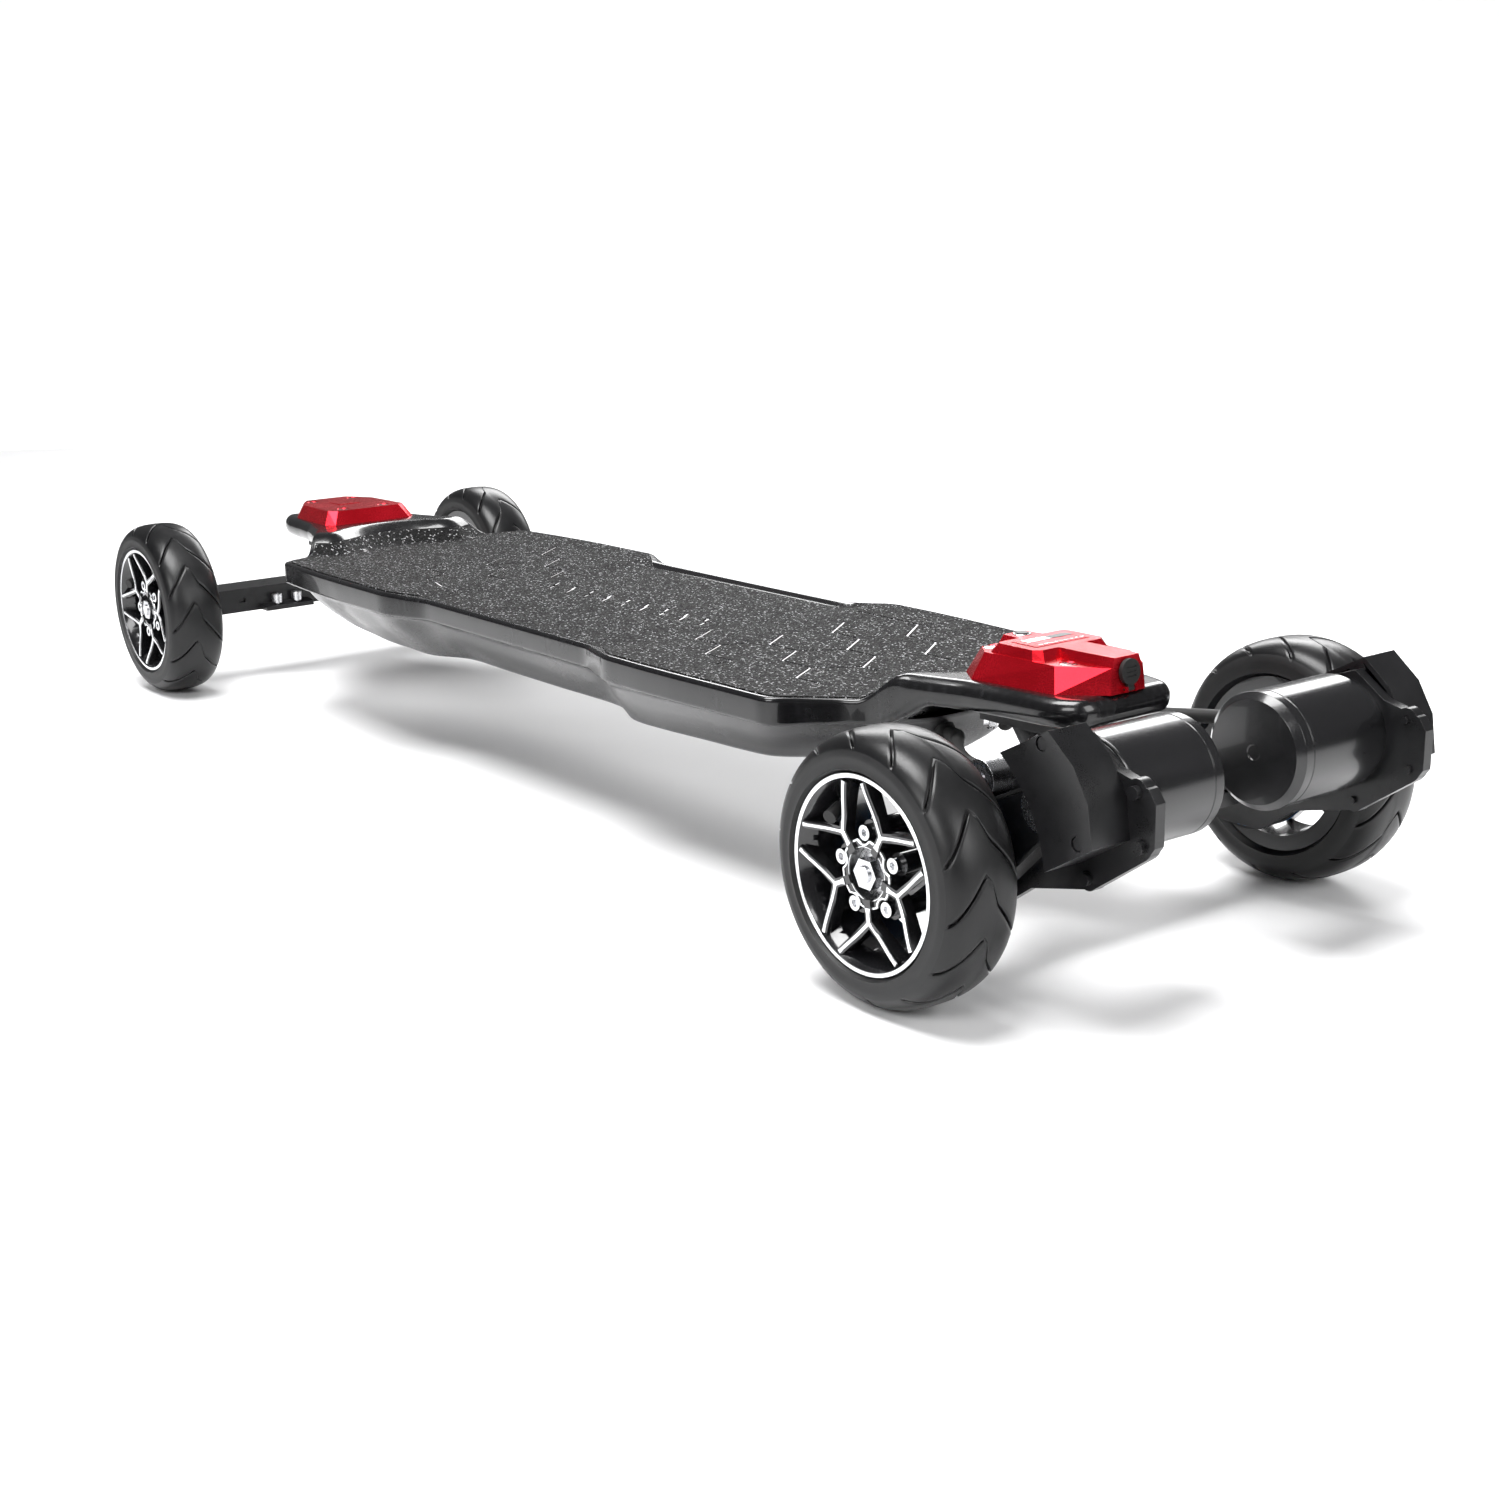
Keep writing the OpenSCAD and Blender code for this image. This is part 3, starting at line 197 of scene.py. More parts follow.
def carbon(name):
    """Woven carbon under a clear gloss coat."""
    mat, tree, bsdf = principled(name)
    where = coords(tree)
    halves = []
    for turn in ((0, 0, math.radians(45)), (0, 0, math.radians(-45))):
        wave = add(tree, "ShaderNodeTexWave", Scale=70.0, Distortion=2.5, Detail=2.0)
        wave.inputs["Detail Scale"].default_value = 1.5
        tree.links.new(coords(tree, (1, 1, 1), turn), wave.inputs["Vector"])
        halves.append(wave.outputs["Fac"])
    weave = maths(tree, "MULTIPLY", halves[0], halves[1])
    cloudy = noise(tree, where, 38, 5, 0.6)
    pattern = maths(tree, "MULTIPLY", weave, spread(tree, cloudy, 0.15, 1.0, 0.35, 0.65))
    tree.links.new(ramp(tree, pattern, [(0.0, (0.004, 0.004, 0.0045)), (0.6, (0.008, 0.008, 0.009)),
                                        (1.0, (0.014, 0.014, 0.015))]), bsdf.inputs["Base Color"])
    tree.links.new(spread(tree, cloudy, 0.16, 0.3), bsdf.inputs["Roughness"])
    bsdf.inputs["Metallic"].default_value = 0.0
    bsdf.inputs["Specular IOR Level"].default_value = 0.3
    bsdf.inputs["Coat Weight"].default_value = 0.4
    bsdf.inputs["Coat Roughness"].default_value = 0.03
    bump(tree, bsdf, noise(tree, where, 14, 2), 0.02, 0.002)
    return mat


def grit(name):
    """Coarse black abrasive: every grain is a facet, and a few grains get a painted glint, a bright base
    colour.
    """
    mat, tree, bsdf = principled(name)
    where = coords(tree)
    cells = add(tree, "ShaderNodeTexVoronoi", Scale=950.0)
    tree.links.new(where, cells.inputs["Vector"])
    pick = tree.nodes.new("ShaderNodeSeparateColor")
    tree.links.new(cells.outputs["Color"], pick.inputs["Color"])
    # Painted glint: a few grains get a bright base colour that stands in for highlights.
    painted_glint = spread(tree, pick.outputs["Red"], 0.0, 1.0, 0.88, 0.98)
    tree.links.new(ramp(tree, painted_glint, [(0.0, (0.004, 0.004, 0.0042)), (0.6, (0.04, 0.04, 0.042)),
                                      (1.0, (0.42, 0.42, 0.43))]), bsdf.inputs["Base Color"])
    tree.links.new(spread(tree, pick.outputs["Green"], 0.55, 1.0, 0.0, 1.0), bsdf.inputs["Roughness"])
    bsdf.inputs["Specular IOR Level"].default_value = 0.2
    height = maths(tree, "ADD", maths(tree, "MULTIPLY", pick.outputs["Blue"], 0.7),
                   maths(tree, "MULTIPLY", cells.outputs["Distance"], -0.8))
    bump(tree, bsdf, height, 0.9, 0.0007)
    return mat


def rubber(name, dark, light, low, high, grain):
    mat, tree, bsdf = principled(name)
    where = coords(tree)
    slow, small = noise(tree, where, 22, 4, 0.6), noise(tree, where, grain, 4, 0.7)
    tree.links.new(ramp(tree, slow, [(0.3, dark), (0.7, light)]), bsdf.inputs["Base Color"])
    both = maths(tree, "ADD", maths(tree, "MULTIPLY", slow, 0.6), maths(tree, "MULTIPLY", small, 0.4))
    tree.links.new(spread(tree, both, low, high), bsdf.inputs["Roughness"])
    bsdf.inputs["Specular IOR Level"].default_value = 0.33
    bump(tree, bsdf, small, 0.12, 0.0004)
    return mat


CARBON = carbon("deck_carbon")
BELLY = finish_of("belly_composite", (0.011, 0.011, 0.012), (0.02, 0.02, 0.021), 0.0, (0.24, 0.36), coat=0.35,
                  fine_bump=0.02, mottling=9)
GRIT = grit("grip_grit")
RED = finish_of("red_anodised", (0.5, 0.004, 0.012), (0.6, 0.008, 0.02), 0.78, (0.2, 0.32), fine=2600,
                fine_bump=0.05, mottling=20)
SATIN = finish_of("black_anodised", (0.004, 0.004, 0.0045), (0.009, 0.009, 0.01), 0.0, (0.24, 0.38),
                  fine=2200, fine_bump=0.08)
MOTOR = finish_of("motor_can", (0.005, 0.005, 0.0055), (0.01, 0.01, 0.011), 0.0, (0.16, 0.26), fine=1800,
                  fine_bump=0.05, coat=0.3, stretch=(1, 0.15, 1))
DARK_METAL = finish_of("cast_black", (0.01, 0.01, 0.011), (0.02, 0.02, 0.022), 0.3, (0.38, 0.55), fine=1100,
                       fine_bump=0.3)
RIM_BLACK = finish_of("rim_black", (0.005, 0.005, 0.006), (0.01, 0.01, 0.011), 0.2, (0.14, 0.26), coat=0.5,
                      fine_bump=0.03)
MACHINED = finish_of("machined_edge", (0.72, 0.73, 0.75), (0.86, 0.87, 0.88), 0.9, (0.16, 0.28), fine=3000,
                     fine_bump=0.06)
STEEL = finish_of("zinc_steel", (0.5, 0.51, 0.53), (0.7, 0.7, 0.71), 1.0, (0.18, 0.36), fine=1500,
                  fine_bump=0.12, wear=0.3)
CHROME = finish_of("bolt_steel", (0.62, 0.63, 0.65), (0.78, 0.78, 0.79), 1.0, (0.12, 0.26), fine=2000,
                   fine_bump=0.08)
TREAD = rubber("tyre_tread", (0.004, 0.004, 0.0045), (0.009, 0.009, 0.0095), 0.26, 0.42, 900)
WALL = rubber("tyre_sidewall", (0.01, 0.01, 0.0105), (0.018, 0.018, 0.0185), 0.45, 0.6, 1400)
RUBBER = rubber("soft_rubber", (0.008, 0.008, 0.008), (0.018, 0.018, 0.018), 0.45, 0.7, 1200)
PLASTIC = finish_of("black_plastic", (0.008, 0.008, 0.009), (0.016, 0.016, 0.017), 0.0, (0.35, 0.5), fine=1600,
                    fine_bump=0.12)
URETHANE = rubber("urethane_orange", (0.62, 0.12, 0.01), (0.75, 0.2, 0.02), 0.3, 0.5, 700)
CUP = finish_of("pivot_cup", (0.55, 0.48, 0.3), (0.65, 0.58, 0.4), 0.0, (0.4, 0.6))
CELL = finish_of("cell_wrap", (0.03, 0.16, 0.32), (0.05, 0.22, 0.42), 0.0, (0.2, 0.35), coat=0.3)
BOARD = finish_of("circuit_board", (0.005, 0.06, 0.02), (0.01, 0.1, 0.035), 0.0, (0.3, 0.5))
CASE = finish_of("controller_case", (0.2, 0.2, 0.21), (0.3, 0.3, 0.31), 0.8, (0.35, 0.5))
BADGE = finish_of("badge_dark", (0.02, 0.02, 0.022), (0.05, 0.05, 0.052), 0.7, (0.22, 0.35), fine=2600)
# Painted reflection: light grey for the gloss deck that glints through the grip's cut lines.
CUT_REFLECTION_PAINT = finish_of("grip_cut_painted_reflection", (0.55, 0.55, 0.56), (0.75, 0.75, 0.76), 0.3, (0.3, 0.5), fine=1500)
BLUE = finish_of("pulley_blue", (0.01, 0.06, 0.16), (0.02, 0.1, 0.24), 0.85, (0.25, 0.4), fine=1800)

# ------------------------------------------------------------------ building pieces


def piece(name, verts, faces, material, body=None, stands_for=(), slot=None, flat=False, sharp=35, extra=()):
    """A mesh from points in mm, riding on its body."""
    me = bpy.data.meshes.new(name)
    me.from_pydata([tuple(float(c) * MM for c in v) for v in verts], [], faces)
    me.update()
    me.polygons.foreach_set("use_smooth", [not flat] * len(me.polygons))
    if not flat:
        me.set_sharp_from_angle(angle=math.radians(sharp))
    me.materials.append(material)
    for more in extra:
        me.materials.append(more)
    ob = bpy.data.objects.new(name, me)
    scene.collection.objects.link(ob)
    if body:
        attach(ob, body)
    if stands_for:
        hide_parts(*stands_for)
    return ob


def strip_faces(rows, n, closed_rows=False, closed_ring=True):
    """Quads between rows of n points."""
    out = []
    for j in range(rows if closed_rows else rows - 1):
        k = (j + 1) % rows
        for i in range(n if closed_ring else n - 1):
            i2 = (i + 1) % n
            out.append((j * n + i, j * n + i2, k * n + i2, k * n + i))
    return out


def loft(rings, caps=True):
    n = len(rings[0])
    verts = [p for ring in rings for p in ring]
    faces = strip_faces(len(rings), n)
    if caps:
        faces.append(tuple(range(n - 1, -1, -1)))
        faces.append(tuple((len(rings) - 1) * n + i for i in range(n)))
    return verts, faces


def outwards(ob):
    """Turns all faces of a closed piece outwards."""
    bm = bmesh.new()
    bm.from_mesh(ob.data)
    bmesh.ops.recalc_face_normals(bm, faces=bm.faces)
    bm.to_mesh(ob.data)
    bm.free()


def tube_mesh(path, radius, sides=20):
    """A swept tube along points in mm; radius is a number or one for each point."""
    p = [np.array(q, float) for q in path]
    up = np.array([0.0, 0.0, 1.0])
    rings = []
    for i, c in enumerate(p):
        t = p[min(i + 1, len(p) - 1)] - p[max(i - 1, 0)]
        t /= np.linalg.norm(t)
        u = np.cross(t, up)
        u /= np.linalg.norm(u)
        v = np.cross(t, u)
        r = radius[i] if isinstance(radius, (list, tuple)) else radius
        rings.append([c + r * (u * math.cos(a) + v * math.sin(a))
                      for a in (2 * math.pi * k / sides for k in range(sides))])
    return loft(rings)


def dress(node, material, width=0.4, angle=32, segments=2, crisp=False):
    """Keeps a CAD node's mesh and gives it its finish and softened edges."""
    ob = nodes[node]
    ob.data.materials.clear()
    ob.data.materials.append(material)
    ob.data.polygons.foreach_set("use_smooth", [not crisp] * len(ob.data.polygons))
    weld = ob.modifiers.new("weld", "WELD")
    weld.merge_threshold = 0.00001
    if width:
        flat = ob.modifiers.new("planar", "DECIMATE")
        flat.decimate_type = "DISSOLVE"
        flat.angle_limit = math.radians(0.6)
        edge = ob.modifiers.new("edges", "BEVEL")
        edge.width = width * MM
        edge.segments = segments
        edge.limit_method = "ANGLE"
        edge.angle_limit = math.radians(angle)
        edge.harden_normals = not crisp
    if not crisp:
        normals = ob.modifiers.new("normals", "WEIGHTED_NORMAL")
        normals.keep_sharp = True
    return ob


# ------------------------------------------------------------------ deck

TIP = [[0, 24], [0.8, 31], [2.2, 35], [5, 39], [11, 43.2], [24, 47], [56, 50], [84, 54], [108, 62], [124, 67],
       [141, 75], [156, 88], [168, 104], [176, 116]]
PLATFORM = [[-347, 125], [-300, 127.6], [-250, 130.4], [-215, 131.5], [-174, 131.5], [-130, 116.5],
            [-60, 116.4],
            [40, 116.4], [107, 116.5], [147, 131.5], [226, 131.5], [260, 130.6], [300, 128.5], [347, 125]]
OUTLINE = ([[-(DECK_END - d), w] for d, w in TIP] + PLATFORM + [[DECK_END - d, w] for d, w in reversed(TIP)])
FRONT_SHIFT = 20
OUT_S = np.array([p[0] for p in OUTLINE])
OUT_W = np.array([p[1] for p in OUTLINE])


def half_width(s):
    """Outline of the deck, its corners rounded over a few millimetres."""
    soft = 5.0 if abs(s) < 355 else 2.0
    if DECK_END - abs(s) < 6:
        return float(np.interp(s, OUT_S, OUT_W))
    offsets = (-1.0, -0.5, 0.0, 0.5, 1.0)
    return float(np.mean([np.interp(s + soft * o, OUT_S, OUT_W) for o in offsets]))


def waist(s):
    """1 along the narrow middle of the board, 0 at both wide ends."""
    return smooth((s + 174) / 44) * smooth((147 - s) / 40)


def rise_foot(s, y):
    """Where the rise to a tip starts, in an arc; the front one starts further in."""
    ya = abs(y)
    crest = 428 - 26 * min((ya / 55) ** 2, 1) + max(0, ya - 60) * 0.5
    return crest - RISE_L - (FRONT_SHIFT if s > 0 else 0)


def top_z(s, y):
    """Height of the deck's top: a wide hollow at the ends, a lipped floor at the waist."""
    ya = abs(y)
    wide = 129.8 + 5.2 * (ya / 131) ** 2
    lip = 129.3 + 3.5 * smooth((ya - 106) / 7)
    flat = mix(wide, lip, waist(s))
    return mix(flat, TIP_Z, smooth((abs(s) - rise_foot(s, y)) / RISE_L))


def under_z(s):
    t = smooth((abs(s) - (DECK_END - 140)) / RISE_L)
    return mix(RIM_UNDER_Z, TIP_Z - DECK_T, t)


def deck_section(s):
    """Closed ring across the deck, rounded at its edges and thinned at its very ends."""
    w = half_width(s)
    d = DECK_END - abs(s)
    shrink = math.sqrt(max(1 - (1 - min(d / 8, 1)) ** 2, 0.03))
    tip = smooth((abs(s) - 380) / 30)
    r_top, r_low = mix(3.2, 8.2, tip), mix(3.0, 8.2, tip)
    low = under_z(s)
    edge_top = top_z(s, w - r_top)
    half = []
    for u in (0, .15, .3, .45, .6, .72, .8, .85, .89, .92, .935, .95, .965, .98, 1.0):
        y = u * (w - r_top)
        half.append((y, top_z(s, y)))
    for k in range(1, 7):
        a = math.radians(90 - 15 * k)
        half.append((w - r_top + r_top * math.cos(a), edge_top - r_top + r_top * math.sin(a)))
    for k in range(0, 7):
        a = math.radians(-15 * k)
        half.append((w - r_low + r_low * math.cos(a), low + r_low + r_low * math.sin(a)))
    for u in (0.8, 0.5, 0.2, 0):
        half.append((u * (w - r_low), low))
    mid = (edge_top + low) / 2
    half = [(y, mid + (z - mid) * shrink) for y, z in half]
    ring = half + [(-y, z) for y, z in reversed(half[1:-1])]
    return [(MID_X + s, y, z) for y, z in ring]


stations = [-DECK_END + d for d in (0, 0.3, 0.9, 1.8, 3, 4.5, 6, 8, 11, 15, 20, 26)]
stations += list(np.arange(-DECK_END + 32, -DECK_END + 180, 3.2))
stations += list(np.arange(-345, 0, 5.0))
stations = sorted(set([round(s, 3) for s in stations] + [round(-s, 3) for s in stations] + [0.0]))
deck = piece("deck_plate", *loft([deck_section(s) for s in stations]), CARBON, "board", ["deck"],
             "deck_composite", sharp=50)
outwards(deck)

# ------------------------------------------------------------------ grip with its cut lines


def grip_half(s):
    return half_width(s) - mix(5.5, 11.5, waist(s))


CLIMB_FRONT, CLIMB_REAR = 19, 2
GRIP_UP, GRIP_DOWN = 0.75, 0.5


def grip_sheet():
    """Rows across the board; the last rows follow the arc at the foot of each rise."""
    across = np.linspace(-1, 1, 61)
    along = np.concatenate([np.linspace(-1, -0.9, 12), np.linspace(-0.88, 0.88, 150), np.linspace(0.9, 1, 12)])
    top, low = [], []
    for v in along:
        for u in across:
            s = v * 380
            for _ in range(3):
                y = u * grip_half(s)
                reach = rise_foot(v, y) + (CLIMB_FRONT if v > 0 else CLIMB_REAR)
                s = v * reach if abs(v) > 0.5 else v * mix(380, reach, smooth(abs(v) * 2))
            y = u * grip_half(s)
            z = top_z(s, y)
            top.append((MID_X + s, y, z + GRIP_UP))
            low.append((MID_X + s, y, z - GRIP_DOWN))
    return top, low, len(along), len(across)


def solid_sheet(top, low, rows, n):
    """Closes two grids of points, one above the other, into one solid."""
    size = rows * n
    faces = strip_faces(rows, n, closed_ring=False)
    under = [tuple(size + i for i in reversed(f)) for f in faces]
    rim = [j * n for j in range(rows)] + [(rows - 1) * n + i for i in range(1, n)]
    rim += [j * n + n - 1 for j in range(rows - 2, -1, -1)] + list(range(n - 2, 0, -1))
    walls = []
    for a, b in zip(rim, rim[1:] + rim[:1]):
        walls.append((a, b, size + b, size + a))
    return top + low, faces + under + walls


FLAT, STEP_S, STEP_Y = 30.0, 19.5, -27.5
STAIRS = ((-331, 70, 25, 3), (-322, 15, 15, 3), (-331, -40, 25, 2), (-237, 70, 30, 2),
          (150, 16.7, 27, 2), (148, -40, 31, 2), (174, 68, 15, 2))
STUBS = ((-242, 87, -237, 70), (-187.5, 42.5, -200, 17), (133, 42, 150, 16.7), (131.5, -16.7, 148, -40),
         (149.5, 75, 174, 68), (-287, 42.5, -306, 15), (-238, 15, -257, -12.5), (223, -12, 206, -38),
         (-172, -95, -250, -95))


def cut_lines():
    """Stepped lines of the honeycomb near each end, as pairs of points (s, y)."""
    out = [((a, b), (c, d)) for a, b, c, d in STUBS]
    for s, y, first, steps in STAIRS:
        run = first
        for _ in range(steps):
            out.append(((s, y), (s + run, y)))
            out.append(((s + run, y), (s + run + STEP_S, y + STEP_Y)))
            s, y, run = s + run + STEP_S, y + STEP_Y, FLAT
    return out


def prism(a, b, half, z0, z1):
    """A bar from a to b with pointed ends, as a cutter."""
    a, b = np.array(a, float), np.array(b, float)
    t = (b - a) / np.linalg.norm(b - a)
    n = np.array([-t[1], t[0]])
    a, b = a - t * half * 0.55, b + t * half * 0.55
    loop = [a + n * half, a - t * half * 0.6, a - n * half, b - n * half, b + t * half * 0.6, b + n * half]
    verts = [(MID_X + p[0], p[1], z) for z in (z0, z1) for p in loop]
    faces = [tuple(range(5, -1, -1)), tuple(range(6, 12))]
    faces += [(i, (i + 1) % 6, 6 + (i + 1) % 6, 6 + i) for i in range(6)]
    return verts, faces


def carve(ob, bars):
    """Cuts the bars out of a piece."""
    verts, faces = [], []
    for v, f in bars:
        faces += [tuple(i + len(verts) for i in q) for q in f]
        verts += v
    cutter = piece("cutter", verts, faces, GRIT, flat=True)
    outwards(cutter)
    cut = ob.modifiers.new("cut", "BOOLEAN")
    cut.operation, cut.object, cut.solver = "DIFFERENCE", cutter, "EXACT"
    cut.use_self = True
    depsgraph = bpy.context.evaluated_depsgraph_get()
    made = bpy.data.meshes.new_from_object(ob.evaluated_get(depsgraph), depsgraph=depsgraph)
    ob.modifiers.clear()
    ob.data = made
    bpy.data.objects.remove(cutter)


grip = piece("grip_sheet", *solid_sheet(*grip_sheet()), GRIT, "board", ["grip_tape"], "grip", sharp=40)
outwards(grip)
LINE_HALF, MARK_HALF = 0.95, 1.4
CUT_LOW, CUT_HIGH = 120, 145
lines = cut_lines()
bars = [prism(a, b, LINE_HALF, CUT_LOW, CUT_HIGH) for a, b in lines]
# Generic short cuts along the middle
for k in range(9):
    s = -116 + 26 * k
    lines.append(((s, 9), (s + 5 + 3 * (k % 2), 1 - 4 * (k % 2))))
    lines.append(((s + 9, -2), (s + 15, -10)))
bars += [prism(a, b, MARK_HALF, CUT_LOW, CUT_HIGH) for a, b in lines[len(bars):]]
carve(grip, bars)


STRIP_STEPS = 8


def cut_reflection_strip(a, b):
    """A painted reflection: a bright strip on the deck in the bottom of a cut line, standing in for the gloss
    deck glinting there.
    """
    a, b = np.array(a, float), np.array(b, float)
    side = np.array([a[1] - b[1], b[0] - a[0]])
    side *= 0.9 / np.linalg.norm(side)
    low, high = [], []
    for k in range(STRIP_STEPS + 1):
        c = a + (b - a) * k / STRIP_STEPS
        for sign in (-1, 1):
            x, y = c + side * sign
            z = max(top_z(x, y), top_z(*c))
            low.append((MID_X + x, y, z - 0.4))
            high.append((MID_X + x, y, z + 0.12))
    faces = [(2 * k, 2 * k + 1, 2 * k + 3, 2 * k + 2) for k in range(STRIP_STEPS)]
    n = len(low)
    top = [tuple(n + i for i in reversed(f)) for f in faces]
    walls = [(2 * k + i, 2 * k + 2 + i, n + 2 * k + 2 + i, n + 2 * k + i)
             for k in range(STRIP_STEPS) for i in (0, 1)]
    ends = [(0, 1, n + 1, n), (n - 2, n - 1, 2 * n - 1, 2 * n - 2)]
    return low + high, faces + top + walls + ends


def merged(parts):
    verts, faces = [], []
    for v, f in parts:
        faces += [tuple(i + len(verts) for i in q) for q in f]
        verts += v
    return verts, faces


# Strips of painted reflection in the bottom of the cut lines.
strips = piece("grip_cut_reflection_strips", *merged([cut_reflection_strip(a, b) for a, b in lines]), CUT_REFLECTION_PAINT, "board", slot="grip", flat=True)
outwards(strips)

# ------------------------------------------------------------------ belly

PLAN = [[-1, 0], [-1, 17], [-0.998, 32], [-0.985, 46], [-0.955, 60], [-0.91, 78], [-0.865, 98], [-0.82, 113],
        [-0.76, 118], [-0.64, 122], [-0.53, 126], [-0.43, 126], [-0.32, 111], [-0.1, 111], [0.1, 111],
        [0.265, 111],
        [0.365, 126], [0.46, 126], [0.56, 126], [0.66, 122], [0.76, 118], [0.82, 113], [0.865, 98], [0.91, 78],
        [0.955, 60], [0.985, 46], [0.998, 32], [1, 17], [1, 0]]
DEPTH = [(118, -4.2, -2), (116, -3.4, -1.4), (114.2, -0.8, -0.2), (111.5, 1.6, 1.5), (102.4, 8, 7),
         (94, 15.5, 15.5),
         (87.6, 22, 24), (83.6, 26, 30), (81.4, 28.8, 35), (81.0, 30, 38)]


def belly_ring(z, side_in, end_in):
    """Outline of the belly at height z, drawn in from its widest."""
    half = spline(PLAN, 6)
    pts = [(MID_X + p[0] * (BELLY_HALF - end_in), max(p[1] - side_in * min(p[1] / 60, 1), 0)) for p in half]
    ring = pts + [(x, -y) for x, y in reversed(pts[1:-1])]
    return [(x, y, z) for x, y in ring]


levels = spline(DEPTH[:-2], 4) + [np.array(DEPTH[-2], float), np.array(DEPTH[-1], float)]
rings = [belly_ring(z, a, b) for z, a, b in levels]
rings += [belly_ring(z, 30 + inset, 38 + inset) for z, inset in ((BELLY_Z, 3.7), (BELLY_Z + 0.3, 4), (84.4, 4),
                                                                 (84.4, 14))]
belly = piece("belly_tub", *loft(rings), BELLY, "board", ["belly"], "deck_composite", sharp=50)
outwards(belly)

# ------------------------------------------------------------------ wheels

# Axle x, side, and how far the spokes are turned
WHEELS = {"rl": (REAR_X, 1, 24.5), "rr": (REAR_X, -1, 24.5),
          "fl": (FRONT_X, 1, 37.5), "fr": (FRONT_X, -1, 37.5)}


def on_wheel(x, side, turn, points):
    """Points (a, b) in the wheel's plane and outward y, to the row frame; angles grow from the rear up."""
    c, s = math.cos(math.radians(turn)), math.sin(math.radians(turn))
    out = []
    for a, b, y in points:
        a2, b2 = a * c - b * s, a * s + b * c
        out.append((x - a2, side * (TYRE_Y + y), AXLE_Z + b2))
    return out


def tyre_profile():
    """Section of the tyre as (radius, y): bead, side, crown, side, bead."""
    base, power = TYRE_R * 0.75, 2.9
    rows = [(52.5, -14.5), (52.5, -19.5), (55.8, -20.1)]
    angles = [0, 5, 10, 15, 20, 24, 28, 31, 34, 37, 40, 43, 46, 49, 52, 56, 60, 65, 70, 75, 80, 84, 87]
    angles = angles + [90] + [180 - a for a in reversed(angles)]
    for deg in angles:
        a = math.radians(180 - deg)
        across = -TYRE_HALF * math.copysign(abs(math.cos(a)) ** (2 / power), math.cos(a))
        r = base + (TYRE_R - base) * math.sin(a) ** (2 / power)
        rows.append((r, -across))
    rows += [(55.8, 20.7), (52.5, 20.4), (52.5, 14.5)]
    return rows


GROOVES = 14


def build_tyre(tag, x, side):
    """The tyre with slanted grooves on both sides, set half a pitch apart."""
    rows = tyre_profile()
    if rows[5][1] > 0:
        rows = rows[:3] + list(reversed(rows[3:-3])) + rows[-3:]
    columns = [-1.3, -0.95, -0.7, -0.35, 0, 0.35, 0.7, 0.95, 1.3, 3.2, 5.6, 8.0, 10.4, 12.857, 15.3, 17.7,
               20.1, 22.5]
    depth_at = [0, 0.12, 1, 1, 1, 1, 1, 0.12, 0] + [0] * 9
    pitch = 360 / GROOVES
    verts = []
    for j, (r, y) in enumerate(rows):
        before, after = rows[max(j - 1, 0)], rows[min(j + 1, len(rows) - 1)]
        t = np.array([after[0] - before[0], after[1] - before[1]], float)
        t /= max(np.linalg.norm(t), 1e-6)
        normal = np.array([t[1], -t[0]])
        if normal[0] < 0 and abs(y) < 24:
            normal = -normal
        ya = abs(y)
        share = smooth((ya - 2.5) / 2.5) * smooth((24.2 - ya) / 1.6) if r > 66 else 0.0
        ring_step = 0.7 if 60.5 < r < 63.5 and ya > 20 else 0.0
        lean = -(0.8 * ya + 0.006 * ya * ya) + pitch / 2 * smooth((y + 4) / 8)
        for g in range(GROOVES):
            for c, deep in zip(columns, depth_at):
                a = math.radians(78.0 + g * pitch + c + lean)
                inwards = 2.6 * deep * share
                rr = r - normal[0] * inwards
                yy = y - normal[1] * inwards - math.copysign(ring_step, y)
                verts.append((rr * math.cos(a), rr * math.sin(a), yy))
    n = GROOVES * len(columns)
    faces = strip_faces(len(rows), n, closed_rows=True)
    ob = piece(f"tyre_{tag}_rubber", on_wheel(x, side, 0, verts), faces, TREAD, f"wheel_{tag}", [f"tyre_{tag}"],
               "tyre", sharp=48, extra=[WALL])
    outwards(ob)
    wall = []
    for f in faces:
        r, y = rows[f[0] // n]
        wall.append(1 if r < 69.5 else 0)
    ob.data.polygons.foreach_set("material_index", wall)
    return ob


def ribbon(points, width, z0, z1, closed=False):
    """A raised line with chamfered edges along wheel-local (a, b) points."""
    p = [np.array(q, float) for q in points]
    n = len(p)
    verts, faces = [], []
    widths = width if isinstance(width, list) else [width] * n
    tops = z1 if isinstance(z1, list) else [z1] * n
    for i in range(n):
        before = p[i - 1] if (i or closed) else p[i]
        after = p[(i + 1) % n] if (i < n - 1 or closed) else p[i]
        t = after - before
        t /= np.linalg.norm(t)
        side = np.array([-t[1], t[0]])
        z1 = tops[i]
        for offset, z in ((-0.5, z0), (-0.5, z1 - 0.25), (-0.38, z1), (0.38, z1), (0.5, z1 - 0.25), (0.5, z0)):
            q = p[i] + side * offset * widths[i]
            verts.append((q[0], q[1], z))
    rows = n
    for j in range(rows if closed else rows - 1):
        k = (j + 1) % rows
        for i in range(6):
            i2 = (i + 1) % 6
            faces.append((j * 6 + i, j * 6 + i2, k * 6 + i2, k * 6 + i))
    if not closed:
        faces.append(tuple(range(5, -1, -1)))
        faces.append(tuple((n - 1) * 6 + i for i in range(6)))
    return verts, faces


def polar(r, deg):
    return (r * math.cos(math.radians(deg)), r * math.sin(math.radians(deg)))


SPOKE_IN_Y, SPOKE_OUT_Y = 20.9, 23.9


def spoke_face(point):
    """How far out the spokes' outer edge lies: it rises towards the ring."""
    return mix(SPOKE_IN_Y, SPOKE_OUT_Y, smooth((math.hypot(point[0], point[1]) - 28) / 24))


